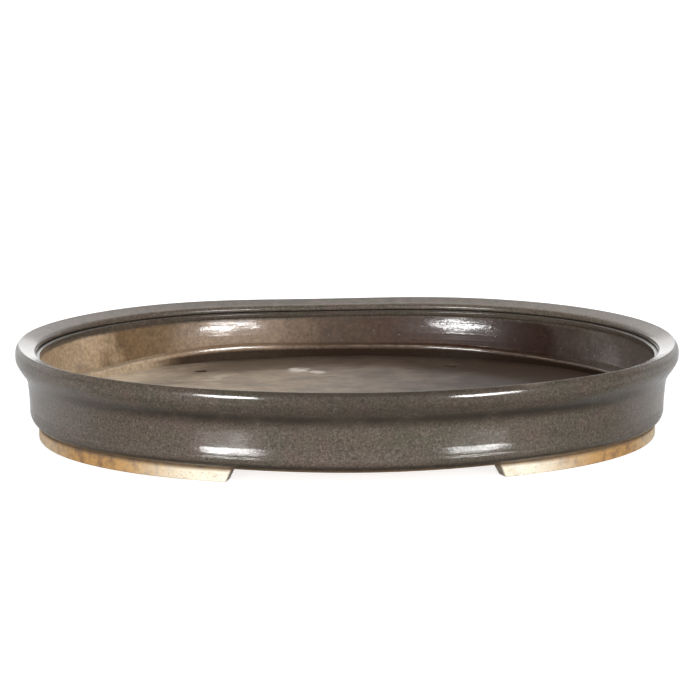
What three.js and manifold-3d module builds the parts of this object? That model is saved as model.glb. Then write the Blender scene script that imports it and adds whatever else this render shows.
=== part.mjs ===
// Oval bonsai pot: a shallow stoneware tray with a rolled lip, standing on two cut feet.
// Millimetres, +Z up. The origin is on the ground, under the middle of the pot, and X runs along it.
// Each piece is one clay member as a potter makes it: floor, wall, lip, corner coil and feet.

import * as THREE from 'three';
import { mergeVertices } from 'three/addons/utils/BufferGeometryUtils.js';
import Module from 'manifold-3d';

// Overall form, measured across the widest line of the lip
const LENGTH = 330;
const WIDTH = 256;
const OVAL_POWER = 2.09; // 2 is a plain ellipse, and more fills out the shoulders
const RIM_HEIGHT = 46.5; // ground to the crest of the lip, at the two ends
const BACK_SAG = 1.9; // the rim has sunk this much at the middle of the back
const FRONT_SAG = 0.8; // and this much at the middle of the front
const SAG_SPREAD = 60; // along the rim, from the middle of the dip to where it has mostly gone
const JOINT_GAP = 0.3; // slip between two luted members

// Lip: an angled strip laid over the top of the wall and down its outside
const LIP_OVERHANG = 6.4; // outermost line of the lip to the wall's outside
const LIP_DEPTH = 16; // crest to the lower edge of the lip
const LIP_EDGE = 0.8; // thickness of that lower edge
const CREST_INSET = 1.9; // outermost line to the crest
const CREST_RISE = 4.9; // outermost line up to the crest
const SHOULDER_RISE = 1.9; // how long the outside stays upright over its outermost line
const BELLY_DROP = 5; // how long the outside stays upright under its outermost line
const TOP_FALL = 2.3; // the top slopes down to the inside
const INNER_EDGE = 2.7; // thickness of the lip at its inner edge
const INNER_ROUND = 1.9; // rounding of the inner edge

// Wall: an upright band whose top edge shows as a small bead under the lip
const WALL_THICKNESS = 5.2; // under the bead
const WALL_SPREAD = 4.6; // the inside comes in by this much on its way down to the floor
const WALL_HOLLOW = 0.5; // 0 slopes the inside straight, and more hollows it
const WALL_TAPER = 0.2; // the outside draws in this much towards the floor
const BEAD_STEP = 1.3; // the wall's inside stands this far inside the lip's inner edge
const BEAD_HEIGHT = 2.8;
const BEAD_SWELL = 0.7; // the bead stands this far proud of the wall's inside

// Floor: a flat slab under the wall, its lower edge rounded off
const FLOOR_THICKNESS = 9.6;
const EDGE_ROUND_WIDTH = 4.6;
const EDGE_ROUND_HEIGHT = 6.5;
const DRAIN_DIAMETER = 22;
const DRAIN_SPACING = 140;
const WIRE_HOLE_DIAMETER = 6.5;
const WIRE_HOLE_SPACING = 131.6; // between the two holes of one long side
const WIRE_HOLE_SHIFT = -1.7; // the four are set a little to the left of the middle
const WIRE_HOLE_EDGE = 27.9; // wall's inside, under the bead, to the middle of the hole

// Corner coil: a roll of clay pressed into the corner of floor and wall
const COIL_HEIGHT = 5.2;
const COIL_WIDTH = 2.4; // at the floor
const COIL_LEAN = 0.636; // its back leans out this much from the floor to its top
const COIL_ROUND = 1.8; // rounding from its top to its upright face

// Feet: one strip round each end, cut back at the middle of both long sides
const FOOT_HEIGHT = 7;
const FOOT_TOP_WIDTH = 10;
const FOOT_SOLE_WIDTH = 7;
const FOOT_EDGE_ROUND = 0.8;
const FOOT_GAP = 132; // between the two feet, at the ground
const FOOT_GAP_SHIFT = -4.5; // the gaps are cut a little to the left of the middle
const FOOT_END_LEAN = 1.8; // each end reaches this much further at the top

// Smoothness of the curved surfaces
const STATIONS = 80; // round the oval
const FOOT_STATIONS = 36; // along one foot
const CURVE_STEPS = 4; // along each curve of a profile
const MOST_ROUND = 0.9; // share of a thickness or height that its rounding may take
const HOLE_SIDES = 24;
const BISECTION_STEPS = 40;
const TINY = 1e-4;

// Lines that the members share. An inset is measured square to the oval, inwards from its outermost line.
const HALF_LENGTH = LENGTH / 2;
const HALF_WIDTH = WIDTH / 2;
const FLOOR_TOP = FOOT_HEIGHT + FLOOR_THICKNESS;
const WALL_FOOT_INSET = LIP_OVERHANG + WALL_TAPER;
const WALL_INNER_INSET = LIP_OVERHANG + WALL_THICKNESS;
const LIP_INNER_INSET = WALL_INNER_INSET - BEAD_STEP;
const LIP_UNDERSIDE = RIM_HEIGHT - TOP_FALL - INNER_EDGE;
const WALL_TOP = LIP_UNDERSIDE - JOINT_GAP;
const BEAD_FOOT = WALL_TOP - BEAD_HEIGHT;
const FOOT_INSET = WALL_FOOT_INSET + EDGE_ROUND_WIDTH;

const GLAZE_OUTSIDE = { color: 0x6a6056, roughness: 0.35, metalness: 0 };
const GLAZE_INSIDE = { color: 0x7d6650, roughness: 0.4, metalness: 0 };
const BARE_CLAY = { color: 0xc49a70, roughness: 0.9, metalness: 0 };

const wasm = await Module();
wasm.setup();

// Number raised to a power with its sign kept.
function signedPower(value, power) {
  return Math.sign(value) * Math.abs(value) ** power;
}

// How far the rim has sunk at a point of the plan.
function rimSag(x, y) {
  const depth = y > 0 ? BACK_SAG : FRONT_SAG;
  return depth * Math.exp(-((x / SAG_SPREAD) ** 2));
}

// Point at an angle round the oval, moved inwards along its normal. The rim's sag fades out at the floor.
function ovalPoint(angle, inset, height) {
  const along = signedPower(Math.cos(angle), 2 / OVAL_POWER);
  const across = signedPower(Math.sin(angle), 2 / OVAL_POWER);
  const normal = new THREE.Vector2(
    signedPower(along, OVAL_POWER - 1) / HALF_LENGTH,
    signedPower(across, OVAL_POWER - 1) / HALF_WIDTH,
  ).normalize();
  const x = HALF_LENGTH * along - inset * normal.x;
  const y = HALF_WIDTH * across - inset * normal.y;
  const rise = THREE.MathUtils.clamp((height - FLOOR_TOP) / (RIM_HEIGHT - FLOOR_TOP), 0, 1);
  return new THREE.Vector3(x, y, height - rise * rimSag(x, y));
}

// Angle, between 0 and a right angle, at which the line at this inset lies the distance x from the middle.
function angleAtX(x, inset) {
  let low = 0;
  let high = Math.PI / 2;
  for (let step = 0; step < BISECTION_STEPS; step += 1) {
    const middle = (low + high) / 2;
    if (ovalPoint(middle, inset, 0).x > x) {
      low = middle;
    } else {
      high = middle;
    }
  }
  return low;
}

// Moves every vertex of a geometry to the place that a function of its coordinates gives.
function reshape(geometry, placeOf) {
  const position = geometry.attributes.position;
  for (let i = 0; i < position.count; i += 1) {
    const place = placeOf(position.getX(i), position.getY(i), position.getZ(i));
    position.setXYZ(i, place.x, place.y, place.z);
  }
  geometry.deleteAttribute('normal');
  geometry.deleteAttribute('uv');
  const merged = mergeVertices(geometry, TINY);
  merged.computeVertexNormals();
  return merged;
}

// Turns a profile of insets and heights round the oval. An inset of half the width is the middle.
function turnRoundOval(profile) {
  const points = profile.map((point) => new THREE.Vector2(HALF_WIDTH - point.x, point.y));
  return reshape(new THREE.LatheGeometry(points, STATIONS), (x, y, z) => {
    const radius = Math.hypot(x, z);
    if (radius < TINY) {
      return new THREE.Vector3(0, 0, y);
    }
    return ovalPoint(Math.atan2(-z, x), HALF_WIDTH - radius, y);
  });
}

// Closed solid for cutting, from a geometry.
function toSolid(geometry) {
  const bare = geometry.clone();
  bare.deleteAttribute('normal');
  bare.deleteAttribute('uv');
  const merged = mergeVertices(bare, TINY);
  return new wasm.Manifold(new wasm.Mesh({
    numProp: 3,
    vertProperties: new Float32Array(merged.attributes.position.array),
    triVerts: new Uint32Array(merged.index.array),
  }));
}

// Geometry of a solid that has been cut.
function toGeometry(solid) {
  const mesh = solid.getMesh();
  const geometry = new THREE.BufferGeometry();
  geometry.setAttribute('position', new THREE.BufferAttribute(mesh.vertProperties, mesh.numProp));
  geometry.setIndex(new THREE.BufferAttribute(mesh.triVerts, 1));
  geometry.computeVertexNormals();
  return geometry;
}

// Lip section: up the swelling outside, round the crest, over the top and round the inner edge.
function lipGeometry() {
  const seat = LIP_OVERHANG - JOINT_GAP;
  const lowerEdge = RIM_HEIGHT - LIP_DEPTH;
  const widest = RIM_HEIGHT - CREST_RISE;
  const innerTop = RIM_HEIGHT - TOP_FALL;
  const innerRound = Math.min(INNER_ROUND, MOST_ROUND * INNER_EDGE);
  const slope = TOP_FALL / (LIP_INNER_INSET - CREST_INSET);
  const section = new THREE.Path();
  section.moveTo(seat, lowerEdge);
  section.lineTo(seat - LIP_EDGE, lowerEdge);
  section.quadraticCurveTo(0, widest - BELLY_DROP, 0, widest);
  section.quadraticCurveTo(0, widest + SHOULDER_RISE, CREST_INSET, RIM_HEIGHT);
  section.lineTo(LIP_INNER_INSET - innerRound, innerTop + innerRound * slope);
  section.quadraticCurveTo(LIP_INNER_INSET, innerTop, LIP_INNER_INSET, innerTop - innerRound);
  section.lineTo(LIP_INNER_INSET, LIP_UNDERSIDE);
  section.lineTo(seat, LIP_UNDERSIDE);
  section.closePath();
  return turnRoundOval(section.getPoints(CURVE_STEPS));
}

// Inset of the wall's inside at a height between the bead and the floor: a parabola.
function wallInside(height) {
  const share = THREE.MathUtils.mapLinear(height, BEAD_FOOT, FLOOR_TOP, 0, 1);
  return WALL_INNER_INSET + WALL_SPREAD * share * (1 - WALL_HOLLOW * (1 - share));
}

// Wall section: up the outside, across the top under the lip, round the bead and down the inside.
function wallGeometry() {
  const beadInset = WALL_INNER_INSET + BEAD_SWELL;
  const section = new THREE.Path();
  section.moveTo(WALL_FOOT_INSET, FLOOR_TOP);
  section.lineTo(LIP_OVERHANG, WALL_TOP);
  section.lineTo(LIP_INNER_INSET, WALL_TOP);
  section.quadraticCurveTo(beadInset, WALL_TOP, beadInset, WALL_TOP - BEAD_HEIGHT / 2);
  section.quadraticCurveTo(beadInset, BEAD_FOOT, WALL_INNER_INSET, BEAD_FOOT);
  section.quadraticCurveTo(
    WALL_INNER_INSET + WALL_SPREAD * (1 - WALL_HOLLOW) / 2,
    (BEAD_FOOT + FLOOR_TOP) / 2,
    wallInside(FLOOR_TOP),
    FLOOR_TOP,
  );
  section.closePath();
  return turnRoundOval(section.getPoints(CURVE_STEPS));
}

// Corner coil section: a back that leans to the wall, a rounded top, an upright face and a flat bed.
function coilGeometry() {
  const coilTop = FLOOR_TOP + COIL_HEIGHT;
  const bedBack = wallInside(FLOOR_TOP) + JOINT_GAP;
  const bedFront = bedBack + COIL_WIDTH;
  const coilRound = Math.min(COIL_ROUND, MOST_ROUND * COIL_HEIGHT);
  const section = new THREE.Path();
  section.moveTo(bedBack, FLOOR_TOP);
  section.lineTo(bedBack - COIL_LEAN, coilTop);
  section.quadraticCurveTo(bedFront, coilTop, bedFront, coilTop - coilRound);
  section.lineTo(bedFront, FLOOR_TOP);
  section.closePath();
  return turnRoundOval(section.getPoints(CURVE_STEPS));
}

// Upright drill through the floor, centred on a point of the plan.
function floorDrill(diameter, x, y) {
  const drill = new THREE.CylinderGeometry(diameter / 2, diameter / 2, 2 * FLOOR_TOP, HOLE_SIDES);
  drill.rotateX(Math.PI / 2);
  drill.translate(x, y, FLOOR_TOP);
  return toSolid(drill);
}

// Floor slab with its rounded lower edge, two drain holes and a tie-wire hole in each quarter.
function floorGeometry() {
  const section = new THREE.Path();
  section.moveTo(HALF_WIDTH, FOOT_HEIGHT);
  section.lineTo(FOOT_INSET, FOOT_HEIGHT);
  section.quadraticCurveTo(WALL_FOOT_INSET, FOOT_HEIGHT, WALL_FOOT_INSET, FOOT_HEIGHT + EDGE_ROUND_HEIGHT);
  section.lineTo(WALL_FOOT_INSET, FLOOR_TOP);
  section.lineTo(HALF_WIDTH, FLOOR_TOP);
  let slab = toSolid(turnRoundOval(section.getPoints(2 * CURVE_STEPS)));

  const wireInset = WALL_INNER_INSET + WIRE_HOLE_EDGE;
  const wireAngle = angleAtX(WIRE_HOLE_SPACING / 2, wireInset);
  const wirePlace = ovalPoint(wireAngle, wireInset, FLOOR_TOP);
  for (const side of [-1, 1]) {
    slab = slab.subtract(floorDrill(DRAIN_DIAMETER, side * DRAIN_SPACING / 2, 0));
    for (const edge of [-1, 1]) {
      const wireX = WIRE_HOLE_SHIFT + side * wirePlace.x;
      slab = slab.subtract(floorDrill(WIRE_HOLE_DIAMETER, wireX, edge * wirePlace.y));
    }
  }
  return toGeometry(slab);
}

// Foot strip bent round one end of the oval, from the front gap to the back gap.
// Its ends lean, so it is longest at the top. The side is -1 for the left end and 1 for the right.
function footGeometry(side) {
  const middleAngle = side < 0 ? Math.PI : 0;
  const reachAt = (height) => {
    const halfGap = FOOT_GAP / 2 + side * FOOT_GAP_SHIFT - FOOT_END_LEAN * height / FOOT_HEIGHT;
    return angleAtX(halfGap, FOOT_INSET);
  };
  const section = new THREE.Shape();
  section.moveTo(FOOT_INSET, FOOT_HEIGHT);
  section.lineTo(FOOT_INSET, FOOT_EDGE_ROUND);
  section.quadraticCurveTo(FOOT_INSET, 0, FOOT_INSET + FOOT_EDGE_ROUND, 0);
  section.lineTo(FOOT_INSET + FOOT_SOLE_WIDTH - FOOT_EDGE_ROUND, 0);
  section.quadraticCurveTo(
    FOOT_INSET + FOOT_SOLE_WIDTH,
    0,
    FOOT_INSET + FOOT_SOLE_WIDTH,
    FOOT_EDGE_ROUND,
  );
  section.lineTo(FOOT_INSET + FOOT_TOP_WIDTH, FOOT_HEIGHT);
  section.closePath();
  const strip = new THREE.ExtrudeGeometry(section, {
    depth: 1,
    steps: FOOT_STATIONS,
    curveSegments: CURVE_STEPS,
    bevelEnabled: false,
  });
  return reshape(strip, (inset, height, share) => {
    return ovalPoint(middleAngle + (2 * share - 1) * reachAt(height), inset, height);
  });
}

// Named mesh with a finish of its own.
function member(name, geometry, finish) {
  const mesh = new THREE.Mesh(geometry, new THREE.MeshStandardMaterial(finish));
  mesh.name = name;
  return mesh;
}

const body = new THREE.Group();
body.add(member('floor_slab', floorGeometry(), GLAZE_INSIDE));
body.add(member('wall_band', wallGeometry(), GLAZE_OUTSIDE));
body.add(member('rim_lip', lipGeometry(), GLAZE_OUTSIDE));
body.add(member('corner_coil', coilGeometry(), GLAZE_INSIDE));

const feet = new THREE.Group();
feet.add(member('left_foot', footGeometry(-1), BARE_CLAY));
feet.add(member('right_foot', footGeometry(1), BARE_CLAY));

const pot = new THREE.Group();
pot.add(body, feet);

export default pot;
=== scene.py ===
"""Looks of an oval bonsai pot, in metres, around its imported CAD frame.

Every clay member is a surface worked out with numpy: a section of insets and heights carried round the
oval plan, or a strip bent round one end of it. An inset is measured square to the oval, inwards from the
outermost line of the lip. Sections, marks and grains are given in millimetres. The glazes and the bare
clay are procedural and read Object coordinates and the members' own attributes.
"""

import logging
import math
from abc import ABC, abstractmethod
from dataclasses import dataclass, field
from enum import Enum
from typing import ClassVar, Optional, Sequence, Union

import bpy
import numpy as np
from mathutils import Matrix, Vector


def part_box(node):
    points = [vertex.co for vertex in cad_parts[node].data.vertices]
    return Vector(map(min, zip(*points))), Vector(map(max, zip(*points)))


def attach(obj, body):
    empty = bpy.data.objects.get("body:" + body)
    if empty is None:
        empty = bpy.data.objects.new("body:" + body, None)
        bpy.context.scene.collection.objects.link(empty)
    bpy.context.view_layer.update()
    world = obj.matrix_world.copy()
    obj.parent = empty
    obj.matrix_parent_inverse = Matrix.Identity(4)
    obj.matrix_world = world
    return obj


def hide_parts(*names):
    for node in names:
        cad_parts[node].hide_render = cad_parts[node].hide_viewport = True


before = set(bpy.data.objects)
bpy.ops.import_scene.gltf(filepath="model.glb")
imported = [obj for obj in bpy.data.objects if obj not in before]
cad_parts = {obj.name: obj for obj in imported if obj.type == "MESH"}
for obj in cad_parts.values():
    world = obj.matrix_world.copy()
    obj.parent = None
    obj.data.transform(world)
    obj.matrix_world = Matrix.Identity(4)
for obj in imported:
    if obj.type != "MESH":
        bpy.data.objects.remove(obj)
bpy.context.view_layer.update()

MM = 0.001
TINY = 1e-6
STATIONS = 480  # round the oval
CURVE_STEPS = 10  # along each rounding of a section
SHARP_ANGLE = math.radians(42)

Colour = tuple[float, float, float]
Factors = tuple[float, float, float]
Range = tuple[float, float]
Wave = tuple[float, float, float]
Marks = dict[str, np.ndarray]
Socket = bpy.types.NodeSocket
Value = Union[float, Socket]
Paint = Union[Colour, Socket]

EVEN: Factors = (1.0, 1.0, 1.0)
WHITE: Colour = (1.0, 1.0, 1.0)

log = logging.getLogger("bonsai_pot")


class Slot(Enum):
    """Material slots, one named by each member."""

    OUTER_GLAZE = "outer_glaze"
    INNER_GLAZE = "inner_glaze"
    BARE_CLAY = "bare_clay"


class Side(Enum):
    """The two ends of the pot, with the sign of X there."""

    LEFT = -1
    RIGHT = 1


@dataclass(frozen=True)
class Corner:
    """Corner of a section, with the lengths of the two sides that its rounding takes.

    Args:
        inset: Distance in from the lip's outermost line.
        height: Height over the ground.
        before: Length of the arriving side that is rounded off.
        after: Length of the leaving side that is rounded off. As long as before if left out.
        steps: Number of steps along the rounding.
    """

    inset: float
    height: float
    before: float = 0.0
    after: Optional[float] = None
    steps: int = CURVE_STEPS


@dataclass
class Surface:
    """Closed mesh in the making.

    Args:
        points: Vertex places, one row each.
        faces: Blocks of faces, each a table with one row of vertex numbers per face.
        marks: Values per vertex that the finishes read, by attribute name.
    """

    points: np.ndarray
    faces: list[np.ndarray]
    marks: Marks = field(default_factory=dict)


def section_line(corners: Sequence[Corner], spacing: float, closed: bool = True) -> np.ndarray:
    """Points along a section.

    Each corner gives a quadratic curve from the point where its rounding leaves the arriving side to the
    point where it meets the leaving side, with the corner itself as control. Straight sides are cut up
    evenly.

    Args:
        corners: Corners in order.
        spacing: Longest step on a straight side.
        closed: Whether the last corner joins the first.

    Returns:
        Array of insets and heights, one row per point.
    """
    spots = np.array([(corner.inset, corner.height) for corner in corners]) * MM
    bends = []
    for number, corner in enumerate(corners):
        spot = spots[number]
        back = spots[number - 1] - spot
        ahead = spots[(number + 1) % len(spots)] - spot
        after = corner.before if corner.after is None else corner.after
        start = spot + back / np.linalg.norm(back) * corner.before * MM
        end = spot + ahead / np.linalg.norm(ahead) * after * MM
        share = np.linspace(0, 1, corner.steps + 1 if corner.before else 1)[:, None]
        bends.append((1 - share) ** 2 * start + 2 * share * (1 - share) * spot + share**2 * end)
    line = []
    for number, bend in enumerate(bends):
        line.append(bend)
        if number == len(bends) - 1 and not closed:
            break
        gap = bends[(number + 1) % len(bends)][0] - bend[-1]
        steps = int(np.linalg.norm(gap) / spacing)
        line.append(bend[-1] + gap * np.linspace(0, 1, steps + 2)[1:-1, None])
    return np.concatenate(line)


def smooth_step(value: np.ndarray, low: float, high: float) -> np.ndarray:
    """Runs smoothly from 0 at low to 1 at high."""
    share = np.clip((value - low) / (high - low), 0, 1)
    return share * share * (3 - 2 * share)


def bell(value: np.ndarray, middle: float, width: float) -> np.ndarray:
    """Bell curve that is 1 at the middle and mostly gone one width away."""
    return np.exp(-(((value - middle) / width) ** 2))


def waves(angle: np.ndarray, parts: Sequence[Wave]) -> np.ndarray:
    """Sum of sine waves, each given by its count round the oval, its phase and its size."""
    return sum(size * np.sin(count * angle + phase) for count, phase, size in parts)


@dataclass(frozen=True)
class Fade:
    """Strength that changes smoothly between two places.

    Args:
        low: Place where it starts to change.
        high: Place where it ends.
        start: Strength at and before low.
        end: Strength at and past high.
    """

    low: float
    high: float
    start: float = 0.0
    end: float = 1.0

    def at(self, place: np.ndarray) -> np.ndarray:
        """Strength at places in metres."""
        return self.start + (self.end - self.start) * smooth_step(place, self.low * MM, self.high * MM)


@dataclass(frozen=True)
class Band:
    """Strength that falls off by a bell curve to both sides of a line.

    Args:
        middle: Place of the line.
        width: Distance at which it is mostly gone.
        strength: Strength on the line.
    """

    middle: float
    width: float
    strength: float = 1.0

    def at(self, place: np.ndarray) -> np.ndarray:
        """Strength at places in metres."""
        return self.strength * bell(place, self.middle * MM, self.width * MM)


@dataclass(frozen=True)
class OvalPlan:
    """Plan of the pot and the unevenness of the hand that made it, in metres.

    Args:
        half_length: Half the length across the lip.
        half_width: Half the width across the lip.
        rim_height: Ground to the crest of the lip.
        floor_top: Ground to the floor's upper face.
        floor_base: Ground to the floor's underside.
        power: 2 is a plain ellipse, and more fills out the shoulders.
        back_sag: How far the rim has sunk at the middle of the back.
        front_sag: How far it has sunk at the middle of the front.
        sag_spread: Reach of that dip along the rim.
        slump: How far the underside hangs between the feet.
        slump_spread: Reach of that hang along the pot.
        wander: Size of the slow unevenness of the oval line.
        wander_waves: Waves that make it up.
        ripple: Size of the quicker unevenness of the glazed faces.
        ripple_count: Number of ripples round the oval.
        ripple_pitch: Height that a ripple takes for one radian.
        ripple_sway: How far the ripples sway up and along, in radians.
        ripple_swings: Number of those sways round the oval, up and along.
    """

    half_length: float
    half_width: float
    rim_height: float
    floor_top: float
    floor_base: float
    power: float = 2.09
    back_sag: float = 1.9 * MM
    front_sag: float = 0.55 * MM
    sag_spread: float = 60 * MM
    slump: float = 1.25 * MM
    slump_spread: float = 62 * MM
    wander: float = 0.16 * MM
    wander_waves: tuple[Wave, ...] = ((3, 0.6, 1.0), (5, 2.2, 0.7), (9, 4.0, 0.45))
    ripple: float = 0.03 * MM
    ripple_count: int = 41
    ripple_pitch: float = 2.7 * MM
    ripple_sway: float = 2.0
    ripple_swings: tuple[int, int] = (7, 3)

    @classmethod
    def from_frame(cls) -> "OvalPlan":
        """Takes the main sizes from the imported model.

        Returns:
            The plan.
        """
        lip_low, lip_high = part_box("rim_lip")
        slab_low, slab_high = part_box("floor_slab")
        return cls(
            half_length=(lip_high.x - lip_low.x) / 2,
            half_width=(lip_high.y - lip_low.y) / 2,
            rim_height=lip_high.z,
            floor_top=slab_high.z,
            floor_base=slab_low.z,
        )

    def angles(self) -> np.ndarray:
        """Angles of the stations round the whole oval, one row each."""
        return np.linspace(0, 2 * np.pi, STATIONS, endpoint=False)[:, None]

    def place(self, angle: np.ndarray, inset: np.ndarray, height: np.ndarray) -> np.ndarray:
        """Places of points given by angle, inset and height.

        The outline is a superellipse. A point lies inset inwards along the outline's normal. Sine waves
        round the oval make the inset wander, and crossed waves of angle and height make it ripple. The
        rim sags at the middle of the long sides, and the underside hangs a little between the feet.

        Args:
            angle: Angles round the oval.
            inset: Distances in from the outermost line.
            height: Heights over the ground.

        Returns:
            Array of places with X, Y and Z along its last axis.
        """
        angle, inset, height = np.broadcast_arrays(angle, inset, height)
        along = np.sign(np.cos(angle)) * np.abs(np.cos(angle)) ** (2 / self.power)
        across = np.sign(np.sin(angle)) * np.abs(np.sin(angle)) ** (2 / self.power)
        normal_x = np.sign(along) * np.abs(along) ** (self.power - 1) / self.half_length
        normal_y = np.sign(across) * np.abs(across) ** (self.power - 1) / self.half_width
        size = np.hypot(normal_x, normal_y)
        sway_up, sway_along = (self.ripple_sway * np.sin(count * angle) for count in self.ripple_swings)
        rows = np.sin(height / self.ripple_pitch + sway_up)
        crossed = np.sin(self.ripple_count * angle + sway_along) * rows
        uneven = self.wander * waves(angle, self.wander_waves) + self.ripple * crossed
        depth = inset + uneven * smooth_step(height, 0, self.floor_top)
        x = self.half_length * along - depth * normal_x / size
        y = self.half_width * across - depth * normal_y / size
        rise = np.clip((height - self.floor_top) / (self.rim_height - self.floor_top), 0, 1)
        sag = np.where(y > 0, self.back_sag, self.front_sag) * bell(x, 0, self.sag_spread) * rise
        under = smooth_step(height, self.floor_top, self.floor_base)
        hang = self.hang(x) * under * (height > self.floor_base - TINY)
        return np.stack([x, y, height - sag - hang], axis=-1)

    def hang(self, x: np.ndarray) -> np.ndarray:
        """How far the underside hangs at X."""
        return self.slump * bell(x, 0, self.slump_spread)

    def angle_at(self, x: np.ndarray, inset: float) -> np.ndarray:
        """Looks up the angle at which a line of the oval lies some way from the middle.

        Args:
            x: Distances along X from the middle.
            inset: Inset of the line.

        Returns:
            Angles up to a right angle.
        """
        trial = np.linspace(0, np.pi / 2, 4 * STATIONS)
        reach = self.place(trial, np.array(inset), np.array(0.0))[:, 0]
        return np.interp(x, reach[::-1], trial[::-1])


def grid_faces(rows: int, columns: int, ring: bool, tube: bool = True) -> np.ndarray:
    """Quads of a grid of vertices.

    Args:
        rows: Stations along the path.
        columns: Points of the section.
        ring: Whether the last row joins the first.
        tube: Whether the last column joins the first.

    Returns:
        Vertex numbers, one row per quad.
    """
    row = np.arange(rows if ring else rows - 1)[:, None]
    column = np.arange(columns if tube else columns - 1)[None, :]
    next_row, next_column = (row + 1) % rows, (column + 1) % columns
    corners = [(row, column), (next_row, column), (next_row, next_column), (row, next_column)]
    return np.stack([down * columns + right for down, right in corners], axis=-1).reshape(-1, 4)


def fan_faces(line: np.ndarray, pole: int) -> np.ndarray:
    """Triangles from a closed line of vertex numbers to one vertex, one row each."""
    return np.stack([line, np.roll(line, -1), np.full(len(line), pole)], axis=-1)


def signed_volume(surface: Surface) -> float:
    """Six times the volume inside a surface, below zero where its faces point inwards.

    Each face is cut into a fan of triangles, and each triangle adds the triple product of its corners.

    Args:
        surface: The closed surface.

    Returns:
        The sum.
    """
    total = 0.0
    for block in surface.faces:
        corners = surface.points[block]
        total += float(np.sum(corners[:, :1] * np.cross(corners[:, 1:-1], corners[:, 2:])))
    return total


def clay_mesh(name: str, surface: Surface) -> bpy.types.Object:
    """Object from a surface, with faces turned outwards, smooth shading and its marks as attributes.

    Args:
        name: Name of the object and its mesh.
        surface: The surface to put into the mesh.

    Returns:
        The new object, in the scene.
    """
    order = -1 if signed_volume(surface) < 0 else 1
    faces = sum((block[:, ::order].tolist() for block in surface.faces), [])
    mesh = bpy.data.meshes.new(name)
    mesh.from_pydata(surface.points.tolist(), [], faces)
    mark_vertices(mesh, surface.marks)
    finish_shading(mesh)
    item = bpy.data.objects.new(name, mesh)
    bpy.context.scene.collection.objects.link(item)
    return item


def mark_vertices(mesh: bpy.types.Mesh, marks: Marks) -> None:
    """Writes values per vertex into attributes of a mesh.

    Args:
        mesh: The mesh.
        marks: Values by attribute name.
    """
    for name, values in marks.items():
        layer = mesh.attributes.get(name) or mesh.attributes.new(name, "FLOAT", "POINT")
        layer.data.foreach_set("value", np.ascontiguousarray(values, dtype=np.float32).ravel())


def finish_shading(mesh: bpy.types.Mesh) -> None:
    """Shades a mesh smooth, apart from its sharp edges.

    Args:
        mesh: The mesh.
    """
    mesh.polygons.foreach_set("use_smooth", np.ones(len(mesh.polygons), dtype=bool))
    mesh.set_sharp_from_angle(angle=SHARP_ANGLE)
    mesh.update()


def vertex_places(mesh: bpy.types.Mesh) -> np.ndarray:
    """Reads the places of a mesh's vertices.

    Args:
        mesh: The mesh.

    Returns:
        Array with one row per vertex.
    """
    places = np.empty(3 * len(mesh.vertices), dtype=np.float32)
    mesh.vertices.foreach_get("co", places)
    return places.reshape(-1, 3).astype(float)


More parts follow.
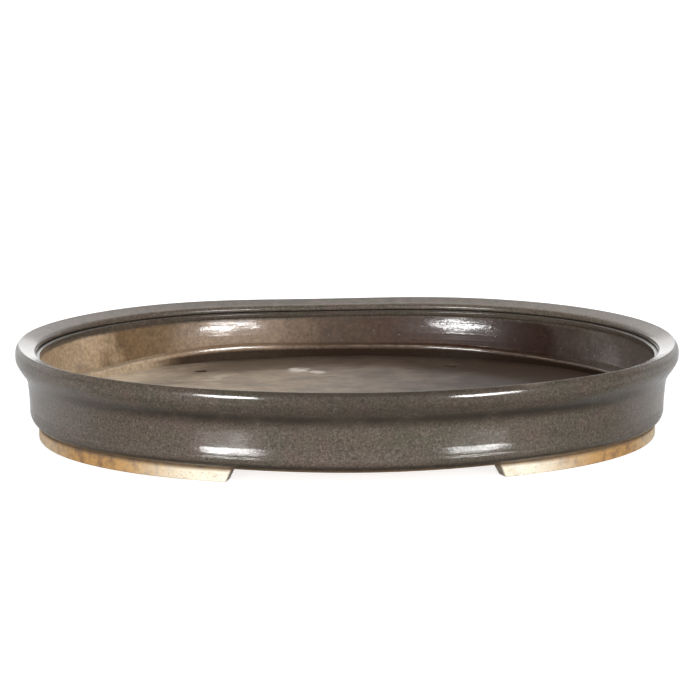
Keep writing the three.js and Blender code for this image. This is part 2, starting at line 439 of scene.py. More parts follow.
class NodeSheet:
    """Short words for building one tree of shader nodes."""

    SHIFTS: ClassVar[Factors] = (1.0, 0.7, 0.4)  # shares of a shift along the three axes

    def __init__(self, tree: bpy.types.NodeTree, output: str) -> None:
        """Empties the tree and starts it.

        Args:
            tree: The tree.
            output: Type of its output node.
        """
        tree.nodes.clear()
        self.tree = tree
        self.output = self.add(output)
        self.place = self.add("ShaderNodeTexCoord").outputs

    def add(self, kind: str, inputs: Optional[dict] = None, **settings: str) -> bpy.types.Node:
        """Adds a node.

        Args:
            kind: Type of the node.
            inputs: Values or sockets for its inputs, by name or number.
            settings: Values of its own settings.

        Returns:
            The node.
        """
        node = self.tree.nodes.new(kind)
        for name, setting in settings.items():
            setattr(node, name, setting)
        for name, value in (inputs or {}).items():
            self.feed(node.inputs[name], value)
        return node

    def feed(self, socket: Socket, value: Union[Value, Paint]) -> None:
        """Links a socket to another, or sets it.

        Args:
            socket: The socket.
            value: Socket to link it to, or a number, colour or vector.
        """
        if isinstance(value, bpy.types.NodeSocket):
            self.tree.links.new(value, socket)
        elif isinstance(value, tuple) and socket.type == "RGBA":
            socket.default_value = (*value, 1.0)
        else:
            socket.default_value = value

    def show(self, shader: Socket) -> None:
        """Links a shader to the output."""
        self.feed(self.output.inputs["Surface"], shader)

    def mark(self, name: str) -> Socket:
        """Value of a vertex attribute, 0 where a piece has none of that name."""
        return self.add("ShaderNodeAttribute", attribute_name=name).outputs["Fac"]

    def axis(self, name: str, space: str = "Object") -> Socket:
        """One coordinate, by its letter."""
        return self.add("ShaderNodeSeparateXYZ", {"Vector": self.place[space]}).outputs[name]

    def moved(self, shift: float, stretch: Factors = EVEN) -> Socket:
        """Object coordinates, moved and stretched so that textures on them differ."""
        move = tuple(shift * factor for factor in self.SHIFTS)
        return self.texture("Mapping", self.place["Object"], Location=move, Scale=stretch)["Vector"]

    def texture(self, kind: str, place: Socket, **inputs: Value) -> bpy.types.NodeOutputs:
        """Outputs of a node that reads coordinates."""
        return self.add(f"ShaderNode{kind}", {"Vector": place, **inputs}).outputs

    def span(self, value: Value, low: float, high: float, start: float = 0.0, end: float = 1.0) -> Socket:
        """Carries a value smoothly from one range to another.

        Args:
            value: The value.
            low: Value that gives start.
            high: Value that gives end.
            start: Result at and before low.
            end: Result at and past high.

        Returns:
            Socket with the result.
        """
        inputs = {"Value": value, "From Min": low, "From Max": high, "To Min": start, "To Max": end}
        return self.add("ShaderNodeMapRange", inputs, interpolation_type="SMOOTHSTEP").outputs["Result"]

    def between(self, share: Value, start: float, end: float) -> Socket:
        """Runs smoothly from start to end while a share goes from 0 to 1."""
        return self.span(share, 0.0, 1.0, start, end)

    def arithmetic(self, operation: str, first: Value, second: Value) -> Socket:
        """Result of a Math node."""
        return self.add("ShaderNodeMath", {0: first, 1: second}, operation=operation).outputs["Value"]

    def sum(self, first: Value, second: Value) -> Socket:
        """Sum of two values."""
        return self.arithmetic("ADD", first, second)

    def product(self, first: Value, second: Value) -> Socket:
        """Product of two values."""
        return self.arithmetic("MULTIPLY", first, second)

    def greater(self, first: Value, second: Value) -> Socket:
        """The greater of two values."""
        return self.arithmetic("MAXIMUM", first, second)

    def away(self, x: float, y: float, reach_x: float, reach_y: float) -> Socket:
        """Distance in plan from a point, as a share of a reach along each axis.

        Args:
            x: Place of the point along the pot.
            y: Its place across the pot.
            reach_x: Reach along the pot.
            reach_y: Reach across it.

        Returns:
            Socket with the share.
        """
        squares = []
        for name, middle, reach in (("X", x, reach_x), ("Y", y, reach_y)):
            step = self.product(self.sum(self.axis(name), -middle), 1 / reach)
            squares.append(self.product(step, step))
        return self.arithmetic("POWER", self.sum(*squares), 0.5)

    def blend(self, share: Value, first: Paint, second: Paint, way: str = "MIX") -> Socket:
        """Colour that goes from the first to the second while the share goes from 0 to 1."""
        inputs = {0: share, 6: first, 7: second}
        return self.add("ShaderNodeMix", inputs, data_type="RGBA", blend_type=way).outputs[2]

    def shaded(self, paint: Paint, factor: Socket) -> Socket:
        """Colour made lighter or darker by a factor."""
        grey = self.add("ShaderNodeCombineColor", {"Red": factor, "Green": factor, "Blue": factor})
        return self.blend(1.0, paint, grey.outputs["Color"], "MULTIPLY")

    def ramp(self, value: Value, stops: Sequence[tuple[float, Colour]]) -> Socket:
        """Colour ramp.

        Args:
            value: Place on the ramp, from 0 to 1.
            stops: Places and colours, in order.

        Returns:
            Socket with the colour.
        """
        node = self.add("ShaderNodeValToRGB", {"Fac": value})
        band = node.color_ramp.elements
        for place, _ in stops[2:]:
            band.new(place)
        for element, (place, colour) in zip(band, stops):
            element.position = place
            element.color = (*colour, 1.0)
        return node.outputs["Color"]

    def relief(self, height: Value, depth: float) -> Socket:
        """Normal of a surface with a fine relief from 0 to 1 and its depth in millimetres."""
        return self.add("ShaderNodeBump", {"Distance": depth * MM, "Height": height}).outputs["Normal"]

    def ware(self, colour: Paint, roughness: Value, normal: Socket, ior: float) -> bpy.types.Node:
        """Shader of fired ware, glazed or bare, with its relief in its normal."""
        inputs = {"Base Color": colour, "Roughness": roughness, "Normal": normal, "IOR": ior}
        return self.add("ShaderNodeBsdfPrincipled", inputs)

    def mixed(self, share: Value, first: Socket, second: Socket) -> Socket:
        """Shader that goes from the first to the second while the share goes from 0 to 1."""
        return self.add("ShaderNodeMixShader", {0: share, 1: first, 2: second}).outputs["Shader"]


def new_material(name: str) -> tuple[bpy.types.Material, NodeSheet]:
    """Makes a material.

    Args:
        name: Its name.

    Returns:
        The material and an empty sheet for its nodes.
    """
    material = bpy.data.materials.new(name)
    material.use_nodes = True
    return material, NodeSheet(material.node_tree, "ShaderNodeOutputMaterial")


@dataclass(frozen=True)
class Cloud:
    """Noise pattern of a finish, in the solid of the piece.

    Args:
        grain: Size of its blotches.
        low: Noise that gives start. The noise lies about 0.5.
        high: Noise that gives end.
        start: Strength at and before low.
        end: Strength at and past high.
        detail: Number of finer layers.
        roughness: Strength of the finer layers.
        shift: Distance that tells it from others of the same grain.
    """

    grain: float
    low: float = 0.0
    high: float = 1.0
    start: float = 0.0
    end: float = 1.0
    detail: float = 3.0
    roughness: float = 0.5
    shift: float = 0.0

    def noise(self, sheet: NodeSheet, stretch: Factors = EVEN) -> Socket:
        """Plain noise, drawn out along an axis by a stretch below 1."""
        inputs = {"Scale": 1 / (self.grain * MM), "Detail": self.detail, "Roughness": self.roughness}
        return sheet.texture("TexNoise", sheet.moved(self.shift, stretch), **inputs)["Fac"]

    def on(self, sheet: NodeSheet, stretch: Factors = EVEN, factor: float = 1.0) -> Socket:
        """Strength of the pattern, times a factor."""
        strengths = (self.start * factor, self.end * factor)
        return sheet.span(self.noise(sheet, stretch), self.low, self.high, *strengths)


@dataclass(frozen=True)
class Spots:
    """Scattered round spots of a finish.

    Args:
        spacing: Distance between spots.
        size: Radius of a spot as a share of the spacing.
        shift: Distance that tells these spots from others of the same spacing.
        core: Share of the radius that is fully covered.
    """

    spacing: float
    size: float
    shift: float
    core: float = 0.35

    def on(self, sheet: NodeSheet) -> Socket:
        """Strength of the spots, 1 in the middle of each and 0 away from it."""
        outputs = sheet.texture("TexVoronoi", sheet.moved(self.shift), Scale=1 / (self.spacing * MM))
        return sheet.span(outputs["Distance"], self.size, self.core * self.size)


@dataclass(frozen=True)
class OuterGlaze:
    """Satin grey-brown glaze of the outside, lip and bead.

    Args:
        body: Main colour.
        olive: Colour of its green-grey clouds.
        plum: Colour of its purple-grey clouds.
        dark_speck: Colour of its fine dark specks.
        pale_speck: Colour of its fine pale specks.
        worn: Colour where it runs thin over an edge.
        pool_and_shade_colour: Colour of glaze pooling in hollows, and of the painted shade in creases,
            under the lip and on its front.
        olive_clouds: Where it is olive.
        plum_clouds: Where it is plum.
        pale_specks: Where it has pale specks.
        dark_specks: Where it has dark specks.
        pool_and_shade_cover: How evenly the pooling glaze and the painted shade cover.
        worn_cover: How evenly it runs thin.
    """

    body: Colour = (0.108, 0.083, 0.062)
    olive: Colour = (0.090, 0.078, 0.055)
    plum: Colour = (0.112, 0.079, 0.063)
    dark_speck: Colour = (0.045, 0.035, 0.027)
    pale_speck: Colour = (0.215, 0.182, 0.148)
    worn: Colour = (0.230, 0.185, 0.145)
    pool_and_shade_colour: Colour = (0.044, 0.035, 0.027)
    olive_clouds: Cloud = Cloud(21, 0.45, 0.62)
    plum_clouds: Cloud = Cloud(13, 0.5, 0.66, shift=0.31)
    pale_specks: Cloud = Cloud(1.0, 0.48, 0.68, 0.0, 0.6, detail=2, roughness=0.6)
    dark_specks: Cloud = Cloud(1.2, 0.48, 0.66, 0.0, 0.7, detail=2, roughness=0.6, shift=0.12)
    pool_and_shade_cover: Cloud = Cloud(9, 0.2, 0.6, 0.6, 1.0)
    worn_cover: Cloud = Cloud(5, 0.3, 0.7, 0.45, 1.0, shift=0.2)

    def colour(self, sheet: NodeSheet) -> Socket:
        """Lays slow clouds, specks, pooling glaze with painted shade and thin edges over each other.

        Args:
            sheet: Sheet of the material.

        Returns:
            Socket with the colour.
        """
        layers = [
            (self.olive_clouds.on(sheet), self.olive),
            (self.plum_clouds.on(sheet), self.plum),
            (self.pale_specks.on(sheet), self.pale_speck),
            (self.dark_specks.on(sheet), self.dark_speck),
            # Pooling glaze and painted shade, where the members mark them.
            (sheet.product(sheet.mark("pool_and_shade"), self.pool_and_shade_cover.on(sheet)), self.pool_and_shade_colour),
            (sheet.product(sheet.mark("worn"), self.worn_cover.on(sheet)), self.worn),
        ]
        colour: Paint = self.body
        for share, paint in layers:
            colour = sheet.blend(share, colour, paint)
        return colour


@dataclass(frozen=True)
class Smear:
    """Round pale mark on the lining.

    Args:
        x: Place along the pot.
        y: Place across it.
        reach: Its radius.
        strength: How much of the glaze it covers.
    """

    x: float
    y: float
    reach: float
    strength: float


@dataclass(frozen=True)
class InnerGlaze:
    """Uneven glaze of the inside, which changes along the pot.

    Args:
        run: Places along X and the glaze's colours there.
        grey: Colour of its greyer patches.
        speck: Colour of its dark specks.
        fleck: Colour of its pale flecks.
        thin: Colour where it runs thin over an edge.
        pool_and_shade_colour: Colour of glaze pooling, and of the painted shade on the coil's face, in
            the holes and near the coil.
        smear: Colour of its pale marks.
        grey_share: How much of it the grey patches take.
        speck_share: How much the dark specks cover.
        draw: Factors on the three axes, below 1 to draw patches and mottling out.
        drift: How far the run of colours wanders along X.
        drift_clouds: How it wanders.
        grey_clouds: Where it is grey.
        mottle: Factors that make it lighter and darker.
        specks: Where it has dark specks.
        flecks: Places of the pale flecks.
        fleck_cover: Where there are flecks.
        thin_cover: How evenly it runs thin.
        ragged: How the edges of the pale marks wander.
        smear_edge: Shares of a mark's radius at which it begins and is whole.
        smears: Its pale marks.
    """

    run: tuple[tuple[float, Colour], ...]
    grey: Colour = (0.060, 0.048, 0.042)
    speck: Colour = (0.050, 0.026, 0.016)
    fleck: Colour = (0.210, 0.165, 0.132)
    thin: Colour = (0.330, 0.250, 0.180)
    pool_and_shade_colour: Colour = (0.018, 0.010, 0.006)
    smear: Colour = (0.720, 0.640, 0.560)
    grey_share: float = 0.25
    speck_share: float = 0.28
    draw: Factors = EVEN
    drift: float = 6.0
    drift_clouds: Cloud = Cloud(15, 0.25, 0.75, -1.0, 1.0, detail=4, roughness=0.6, shift=0.5)
    grey_clouds: Cloud = Cloud(11, 0.5, 0.68, detail=4, roughness=0.6, shift=0.9)
    mottle: Cloud = Cloud(2.0, 0.3, 0.7, 0.76, 1.24, detail=4, roughness=0.7, shift=0.7)
    specks: Cloud = Cloud(0.9, 0.55, 0.7, detail=2, roughness=0.6, shift=0.4)
    flecks: Spots = Spots(2.6, 0.2, 0.21)
    fleck_cover: Cloud = Cloud(6, 0.54, 0.64, detail=2)
    thin_cover: Cloud = Cloud(6, 0.3, 0.65, 0.15, 0.75, shift=0.2)
    ragged: Cloud = Cloud(5, 0.2, 0.8, -0.5, 0.5, roughness=0.6, shift=0.25)
    smear_edge: Range = (1.25, 0.3)
    smears: tuple[Smear, ...] = ()

    def colour(self, sheet: NodeSheet) -> Socket:
        """Lays patches, mottling, specks, flecks and marks over the run of colours along X.

        Args:
            sheet: Sheet of the material.

        Returns:
            Socket with the colour.
        """
        first, last = self.run[0][0], self.run[-1][0]
        along = sheet.sum(sheet.axis("X"), self.drift_clouds.on(sheet, factor=self.drift * MM))
        along = sheet.product(sheet.sum(along, -first * MM), 1 / ((last - first) * MM))
        colour = sheet.ramp(along, [((x - first) / (last - first), paint) for x, paint in self.run])
        patches = self.grey_clouds.on(sheet, self.draw, self.grey_share)
        colour = sheet.blend(patches, colour, self.grey)
        colour = sheet.shaded(colour, self.mottle.on(sheet, self.draw))
        layers = [
            (self.specks.on(sheet, factor=self.speck_share), self.speck),
            (sheet.product(self.flecks.on(sheet), self.fleck_cover.on(sheet)), self.fleck),
            (sheet.product(sheet.mark("worn"), self.thin_cover.on(sheet)), self.thin),
            # Pooling glaze and painted shade, where the members mark them.
            (sheet.mark("pool_and_shade"), self.pool_and_shade_colour),
        ]
        ragged = self.ragged.on(sheet)
        for smear in self.smears:
            away = sheet.away(smear.x * MM, smear.y * MM, smear.reach * MM, smear.reach * MM)
            cover = sheet.span(sheet.sum(away, ragged), *self.smear_edge, 0.0, smear.strength)
            layers.append((cover, self.smear))
        for share, paint in layers:
            colour = sheet.blend(share, colour, paint)
        return colour


@dataclass(frozen=True)
class BareClay:
    """Bare fired clay of the feet, the underside and the wiped bottom edge.

    Args:
        body: Main colour.
        toasted: Colour of its darker, toasted patches.
        pale: Colour of the painted light near the gaps, and of the paler ends.
        grit: Colour of its dark grit.
        painted_shade: Colour of the painted shade on the feet's cut ends and upper edges and on the wiped
            edge.
        toast_clouds: Where it is toasted.
        pale_cover: How evenly that pale colour covers.
        grit_specks: Where it has grit.
    """

    body: Colour = (0.540, 0.312, 0.115)
    toasted: Colour = (0.300, 0.172, 0.088)
    pale: Colour = (0.930, 0.860, 0.700)
    grit: Colour = (0.200, 0.130, 0.080)
    painted_shade: Colour = (0.100, 0.078, 0.060)
    toast_clouds: Cloud = Cloud(5, 0.44, 0.66, detail=4, roughness=0.65, shift=0.8)
    pale_cover: Cloud = Cloud(6, 0.2, 0.55, 0.55, 1.0)
    grit_specks: Cloud = Cloud(0.9, 0.58, 0.7, 0.0, 0.5, detail=2, roughness=0.6, shift=0.6)

    def colour(self, sheet: NodeSheet) -> Socket:
        """Lays toasted clouds, painted light near the gaps with paler ends, dark grit and painted shade
        over each other.

        Args:
            sheet: Sheet of the material.

        Returns:
            Socket with the colour.
        """
        # Painted light near the gaps between the feet, and paler clay round the ends.
        pale_and_lit = sheet.product(sheet.mark("pale_and_lit"), self.pale_cover.on(sheet))
        colour = sheet.blend(self.toast_clouds.on(sheet), self.body, self.toasted)
        colour = sheet.blend(pale_and_lit, colour, self.pale)
        colour = sheet.blend(self.grit_specks.on(sheet), colour, self.grit)
        # Painted shade on the cut ends, the upper edges of the feet and the wiped edge.
        return sheet.blend(sheet.mark("painted_shade"), colour, self.painted_shade)


@dataclass(frozen=True)
class PotFinish:
    """Finish of the glazed members: outer glaze, lining and bare clay, parted by the members' marks.

    Args:
        name: Name of the material.
        inner: Glaze of the inside.
        outer: Glaze of the outside.
        clay: Clay where the glaze is wiped off.
        fringe: How the borders between them wander.
        lining_edge: Marks between which the lining takes over.
        wiped_edge: Marks between which the clay takes over.
        wiped_fringe: Share of the fringe on the clay's border.
        gloss: Roughness of the glazes' skin.
        patchy: How much of that skin is there.
        lining_skin: Share of it on the lining.
        pool_and_shade_skin: Share of it on the lining's pooling glaze and painted shade.
        body_gloss: Roughness of the glazes under their skin.
        clay_gloss: Roughness of the clay.
        outer_glow: Strength of the outer glaze's soft reflections under its skin.
        inner_glow: Strength of the lining's.
        pool_and_shade_glow: Share of them left on pooling glaze and painted shade.
        pool_and_shade_at: Mark of pooling glaze and painted shade from which that share holds.
        fine: Fine relief.
        pits: Pinholes.
        pit_depth: Their depth as a share of the relief.
        relief: Depth of the relief.
        calm: Share of the relief where no grain is marked.
        ior: Index of refraction of the glaze.
    """

    name: str
    inner: InnerGlaze
    outer: OuterGlaze = OuterGlaze()
    clay: BareClay = BareClay()
    fringe: Cloud = Cloud(5, 0.25, 0.75, -0.15, 0.15, detail=4, roughness=0.6, shift=0.15)
    lining_edge: Range = (0.15, 0.85)
    wiped_edge: Range = (0.4, 0.6)
    wiped_fringe: float = 0.5
    gloss: float = 0.12
    patchy: Cloud = Cloud(4, 0.3, 0.7, 1.0, 0.9, shift=0.33)
    lining_skin: float = 1.0
    pool_and_shade_skin: float = 0.3
    body_gloss: float = 0.38
    clay_gloss: float = 0.85
    outer_glow: float = 0.36
    inner_glow: float = 0.26
    pool_and_shade_glow: float = 0.25
    pool_and_shade_at: float = 0.6
    fine: Cloud = Cloud(1.5, detail=2, roughness=0.6, shift=0.44)
    pits: Spots = Spots(3.1, 0.16, 0.77)
    pit_depth: float = 0.35
    relief: float = 0.05
    calm: float = 0.2
    ior: float = 1.55

    def material(self) -> bpy.types.Material:
        """Builds the material.

        Returns:
            The material.
        """
        material, sheet = new_material(self.name)
        fringe = self.fringe.on(sheet)
        lining = sheet.span(sheet.sum(sheet.mark("lining"), fringe), *self.lining_edge)
        wiped = sheet.sum(sheet.mark("bare"), sheet.product(fringe, self.wiped_fringe))
        wiped = sheet.span(wiped, *self.wiped_edge)
        glazed = sheet.blend(lining, self.outer.colour(sheet), self.inner.colour(sheet))
        colour = sheet.blend(wiped, glazed, self.clay.colour(sheet))
        body = sheet.between(wiped, self.body_gloss, self.clay_gloss)
        # The mark of pooling glaze and painted shade takes away some of the soft reflection and of the
        # skin.
        pool_and_shade = sheet.mark("pool_and_shade")
        glow = sheet.between(lining, self.outer_glow, self.inner_glow)
        glow = sheet.product(glow, sheet.span(pool_and_shade, 0.0, self.pool_and_shade_at, 1.0, self.pool_and_shade_glow))
        skin = sheet.product(sheet.between(lining, 1.0, self.lining_skin), self.patchy.on(sheet))
        hollow = sheet.between(sheet.product(pool_and_shade, lining), 1.0, self.pool_and_shade_skin)
        skin = sheet.product(sheet.between(wiped, 1.0, 0.0), sheet.product(hollow, skin))
        grain = sheet.between(sheet.mark("grain"), self.calm, 1.0)
        fine = sheet.product(self.fine.noise(sheet), grain)
        pits = sheet.product(self.pits.on(sheet), sheet.product(grain, -self.pit_depth))
        normal = sheet.relief(sheet.sum(fine, pits), self.relief)
        ware = sheet.ware(colour, body, normal, self.ior)
        sheet.feed(ware.inputs["Specular IOR Level"], glow)
        sheet.feed(ware.inputs["Coat Weight"], skin)
        sheet.feed(ware.inputs["Coat Roughness"], self.gloss)
        sheet.feed(ware.inputs["Coat Normal"], normal)
        sheet.show(ware.outputs["BSDF"])
        return material


@dataclass(frozen=True)
class FootFinish:
    """Finish of the bare feet.

    Args:
        name: Name of the material.
        clay: The clay.
        rough: Its roughness.
        grain: Its grain.
        relief: Depth of that grain.
        ior: Index of refraction.
    """

    name: str = "bare_clay"
    clay: BareClay = BareClay()
    rough: Cloud = Cloud(3, 0.3, 0.7, 0.77, 0.93, shift=0.41)
    grain: Cloud = Cloud(1.2, detail=4, roughness=0.65, shift=0.52)
    relief: float = 0.07
    ior: float = 1.5

    def material(self) -> bpy.types.Material:
        """Builds the material.

        Returns:
            The material.
        """
        material, sheet = new_material(self.name)
        grain = sheet.relief(self.grain.noise(sheet), self.relief)
        ware = sheet.ware(self.clay.colour(sheet), self.rough.on(sheet), grain, self.ior)
        sheet.show(ware.outputs["BSDF"])
        return material


@dataclass
class ClayMember(ABC):
    """One clay member of the pot, which stands for a CAD node.

    Args:
        plan: Plan of the pot.
        material: Finish of the member.
    """

    node: ClassVar[str]
    slot: ClassVar[Slot]
    plan: OvalPlan
    material: bpy.types.Material

    @abstractmethod
    def build(self) -> bpy.types.Object:
        """Makes the member's object."""

    def ring(self, inset: np.ndarray, height: np.ndarray) -> np.ndarray:
        """Vertex places of a section carried round the whole oval, station by station."""
        return self.plan.place(self.plan.angles(), inset, height).reshape(-1, 3)

    @staticmethod
    def around(values: np.ndarray) -> np.ndarray:
        """Values of a section's points, repeated at every station."""
        return np.tile(values, STATIONS)

    @staticmethod
    def from_corner(corner: Corner, inset: np.ndarray, height: np.ndarray) -> np.ndarray:
        """Distances of a section's points from one of its corners."""
        return np.hypot(inset - corner.inset * MM, height - corner.height * MM)

    def ring_mesh(self, name: str, points: np.ndarray, marks: Marks) -> bpy.types.Object:
        """Object from a section carried round the whole oval.

        Args:
            name: Name of the object.
            points: Vertex places, station by station.
            marks: Values of the section's points, or of all vertices, by attribute name.

        Returns:
            The object.
        """
        faces = grid_faces(STATIONS, len(points) // STATIONS, ring=True)
        full = {key: np.resize(values, len(points)) for key, values in marks.items()}
        return clay_mesh(name, Surface(points, [faces], full))

    def dress(self) -> bpy.types.Object:
        """Builds the member, gives it its finish, hangs it under the root body and hides the CAD node
        that it stands for.

        Returns:
            The member's object.
        """
        item = self.build()
        item.data.materials.append(self.material)
        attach(item, "root")
        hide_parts(self.node)
        log.info("%s: %d faces", item.name, len(item.data.polygons))
        return item


@dataclass
class RimLip(ClayMember):
    """Rolled lip: it swells out over the wall, feathers onto it below and slopes in on top.

    Args:
        foot: Its lower edge on the wall.
        hollow: Turn from the wall to the underside of its swelling.
        belly: Lower corner of its upright outer face.
        shoulder: Upper corner of that face.
        facet_top: Top of the leaning facet above it.
        crest: Its highest line.
        inner_edge: Inner end of its sloping top.
        inner_foot: Foot of its inner face, at the groove.
        seat: Inset of its seat on the wall.
        spacing: Longest step along its section, in metres.
        outer_reach: Inset up to which its face counts as the outside.
        inner_reach: Inset from which it counts as the inside.
        top_in: Thin glaze on top, by inset.
        top_up: Thin glaze on top, by height.
        smear_crest: Pale mark on the crest, by the distance from it.
        smear_front: That mark, by the distance in front of the middle.
        smear_along: That mark, along the pot.
        under_lip_shade: Painted shade under the swelling, with glaze pooling there, by height.
        under_ends: That shade, by the distance along the pot.
        lip_shade_up: Painted shade of the lip's outside, darkest on the band under the crest, by height.
        lip_shade_foot: How it fades in from the foot.
        lip_shade_along: How it fades along the pot.
        groove: Painted shade in the groove, with glaze pooling there, by height.
        grain: Grain of the outside, by height.
    """

    node: ClassVar[str] = "rim_lip"
    slot: ClassVar[Slot] = Slot.OUTER_GLAZE
    foot: Corner = Corner(6.37, 25.2)
    hollow: Corner = Corner(5.86, 30.3, 3.2, 3.8)
    belly: Corner = Corner(0.0, 38.3, 4.8, 2.0)
    shoulder: Corner = Corner(0.0, 42.4, 2.0, 0.6)
    facet_top: Corner = Corner(0.43, 44.45, 0.6, 0.8)
    crest: Corner = Corner(1.9, 46.5, 0.4)
    inner_edge: Corner = Corner(10.3, 43.75, 1.9)
    inner_foot: Corner = Corner(10.3, 41.05, 0.6)
    seat: float = 6.48
    spacing: float = 0.9 * MM
    outer_reach: float = 8.0
    inner_reach: float = 9.0
    top_in: Fade = Fade(2.2, 3.2)
    top_up: Fade = Fade(43.4, 44.2, 0.0, 0.5)
    smear_crest: Band = Band(0.0, 1.5)
    smear_front: Fade = Fade(0.0, 20.0)
    smear_along: Band = Band(73.0, 5.0)
    under_lip_shade: Band = Band(32.4, 3.2)
    under_ends: Fade = Fade(150.0, 95.0, 0.45, 1.0)
    lip_shade_up: Fade = Fade(44.4, 45.4, 0.58, 0.9)
    lip_shade_foot: Fade = Fade(25.4, 31.5)
    lip_shade_along: Band = Band(0.0, 100.0)
    groove: Band = Band(41.05, 0.8, 0.5)
    grain: Fade = Fade(33.0, 25.0, 0.0, 0.6)

    def build(self) -> bpy.types.Object:
        """Carries the lip's section round the oval and marks where its glaze runs thin and where painted
        shade darkens it.

        Returns:
            The lip's object.
        """
        corners = [
            self.foot,
            self.hollow,
            self.belly,
            self.shoulder,
            self.facet_top,
            self.crest,
            self.inner_edge,
            self.inner_foot,
            Corner(self.seat, self.inner_foot.height),
            Corner(self.seat, self.foot.height),
        ]
        inset, height = section_line(corners, self.spacing).T
        points = self.ring(inset, height)
        x, y, _ = points.T
        outer = inset < self.outer_reach * MM
        top = self.top_in.at(inset) * self.top_up.at(height)
        smear = self.around(self.smear_crest.at(self.from_corner(self.crest, inset, height)))
        smear = smear * self.smear_front.at(-y) * self.smear_along.at(x)
        # Painted shade: the valley under the swelling, the lip's front with the band under its crest, and
        # the groove.
        under = self.around(self.under_lip_shade.at(height) * outer) * self.under_ends.at(np.abs(x))
        lip_shade = self.around(self.lip_shade_up.at(height) * self.lip_shade_foot.at(height) * outer)
        groove = self.around(self.groove.at(height) * (inset > self.inner_reach * MM))
        marks = {
            "worn": np.maximum(self.around(top), smear),
            "pool_and_shade": np.maximum.reduce([under, lip_shade * self.lip_shade_along.at(x), groove]),
            "grain": self.grain.at(height) * outer,
        }
        return self.ring_mesh("glazed_lip", points, marks)


@dataclass
class WallBand(ClayMember):
    """Wall that leans out to the lip, with a bead under it and a hollowed inside with finger lines.

    Args:
        foot_inset: Inset of its outer foot on the floor.
        lean_foot: Turn from the upright foot to the leaning outside.
        lean_top: Top of the leaning outside, behind the lip's foot.
        step: Step in to its upright part behind the lip.
        bead_top: Upper corner of the bead.
        bead_foot: Lower corner of the bead.
        bead_root: Foot of the bead on the inside.
        hollow: Hollow of the inside.
        slope_foot: Foot of the sloping inside, at the coil.
        spacing: Longest step along its section, in metres.
        inner_side: Inset from which it counts as the inside.
        joint_reach: Inset up to which its top lies in the groove.
        line_heights: Heights of the finger lines.
        line_depth: Their depth, in metres.
        line_width: Their width, in metres.
        line_swing: How far they rise and fall, in metres.
        line_waves: Waves of that rise and fall.
        groove: Painted shade in the groove, with glaze pooling there, by height.
        root: Painted shade on the bead and just under it, by height.
        lining: Change from lining to outer glaze, by height.
        inner_grain: Grain of the inside.
        outer_grain: Grain of the outside.
    """

    node: ClassVar[str] = "wall_band"
    slot: ClassVar[Slot] = Slot.OUTER_GLAZE
    foot_inset: float = 6.98
    lean_foot: Corner = Corner(6.95, 18.2, 0.8, 5.6)
    lean_top: Corner = Corner(6.3, 26.4)
    step: Corner = Corner(6.5, 27.0)
    bead_top: Corner = Corner(12.3, 40.8, 1.1)
    bead_foot: Corner = Corner(12.3, 38.4, 1.0, 0.4)
    bead_root: Corner = Corner(11.6, 37.9, 0.4)
    hollow: Corner = Corner(12.59, 30.4, 7.1, 7.9, steps=72)
    slope_foot: Corner = Corner(15.04, 22.8)
    spacing: float = 0.9 * MM
    inner_side: float = 9.0
    joint_reach: float = 11.8
    line_heights: tuple[float, ...] = (33.5, 28.2, 25.1)
    line_depth: float = 0.016 * MM
    line_width: float = 0.5 * MM
    line_swing: float = 0.7 * MM
    line_waves: tuple[Wave, ...] = ((2, 1.0, 1.0), (5, 0.0, 0.6))
    groove: Band = Band(40.8, 0.5, 0.5)
    root: Fade = Fade(36.0, 38.3, 0.0, 0.6)
    lining: Fade = Fade(39.2, 34.8)
    inner_grain: float = 0.7
    outer_grain: float = 0.6

    def build(self) -> bpy.types.Object:
        """Carries the wall's section round the oval.

        Shallow bell-shaped grooves run round the inside at a few heights, which rise and fall a little
        on the way, as the potter's fingers leave them.

        Returns:
            The wall's object.
        """
        floor = self.plan.floor_top / MM
        corners = [
            Corner(self.foot_inset, floor),
            self.lean_foot,
            self.lean_top,
            self.step,
            Corner(self.step.inset, self.bead_top.height),
            self.bead_top,
            self.bead_foot,
            self.bead_root,
            self.hollow,
            self.slope_foot,
            Corner(self.slope_foot.inset, floor),
        ]
        inset, height = section_line(corners, self.spacing).T
        within = inset > self.inner_side * MM
        level = height + self.line_swing * waves(self.plan.angles(), self.line_waves)
        lines = sum(bell(level, middle * MM, self.line_width) for middle in self.line_heights)
        points = self.ring(inset - self.line_depth * lines * within, height)
        # Painted shade in the groove, and on and under the bead.
        groove = self.groove.at(height) * (inset < self.joint_reach * MM)
        marks = {
            "lining": self.lining.at(height) * within,
            "pool_and_shade": np.maximum(groove, self.root.at(height)) * within,
            "grain": np.where(within, self.inner_grain, self.outer_grain),
        }
        return self.ring_mesh("glazed_wall", points, marks)


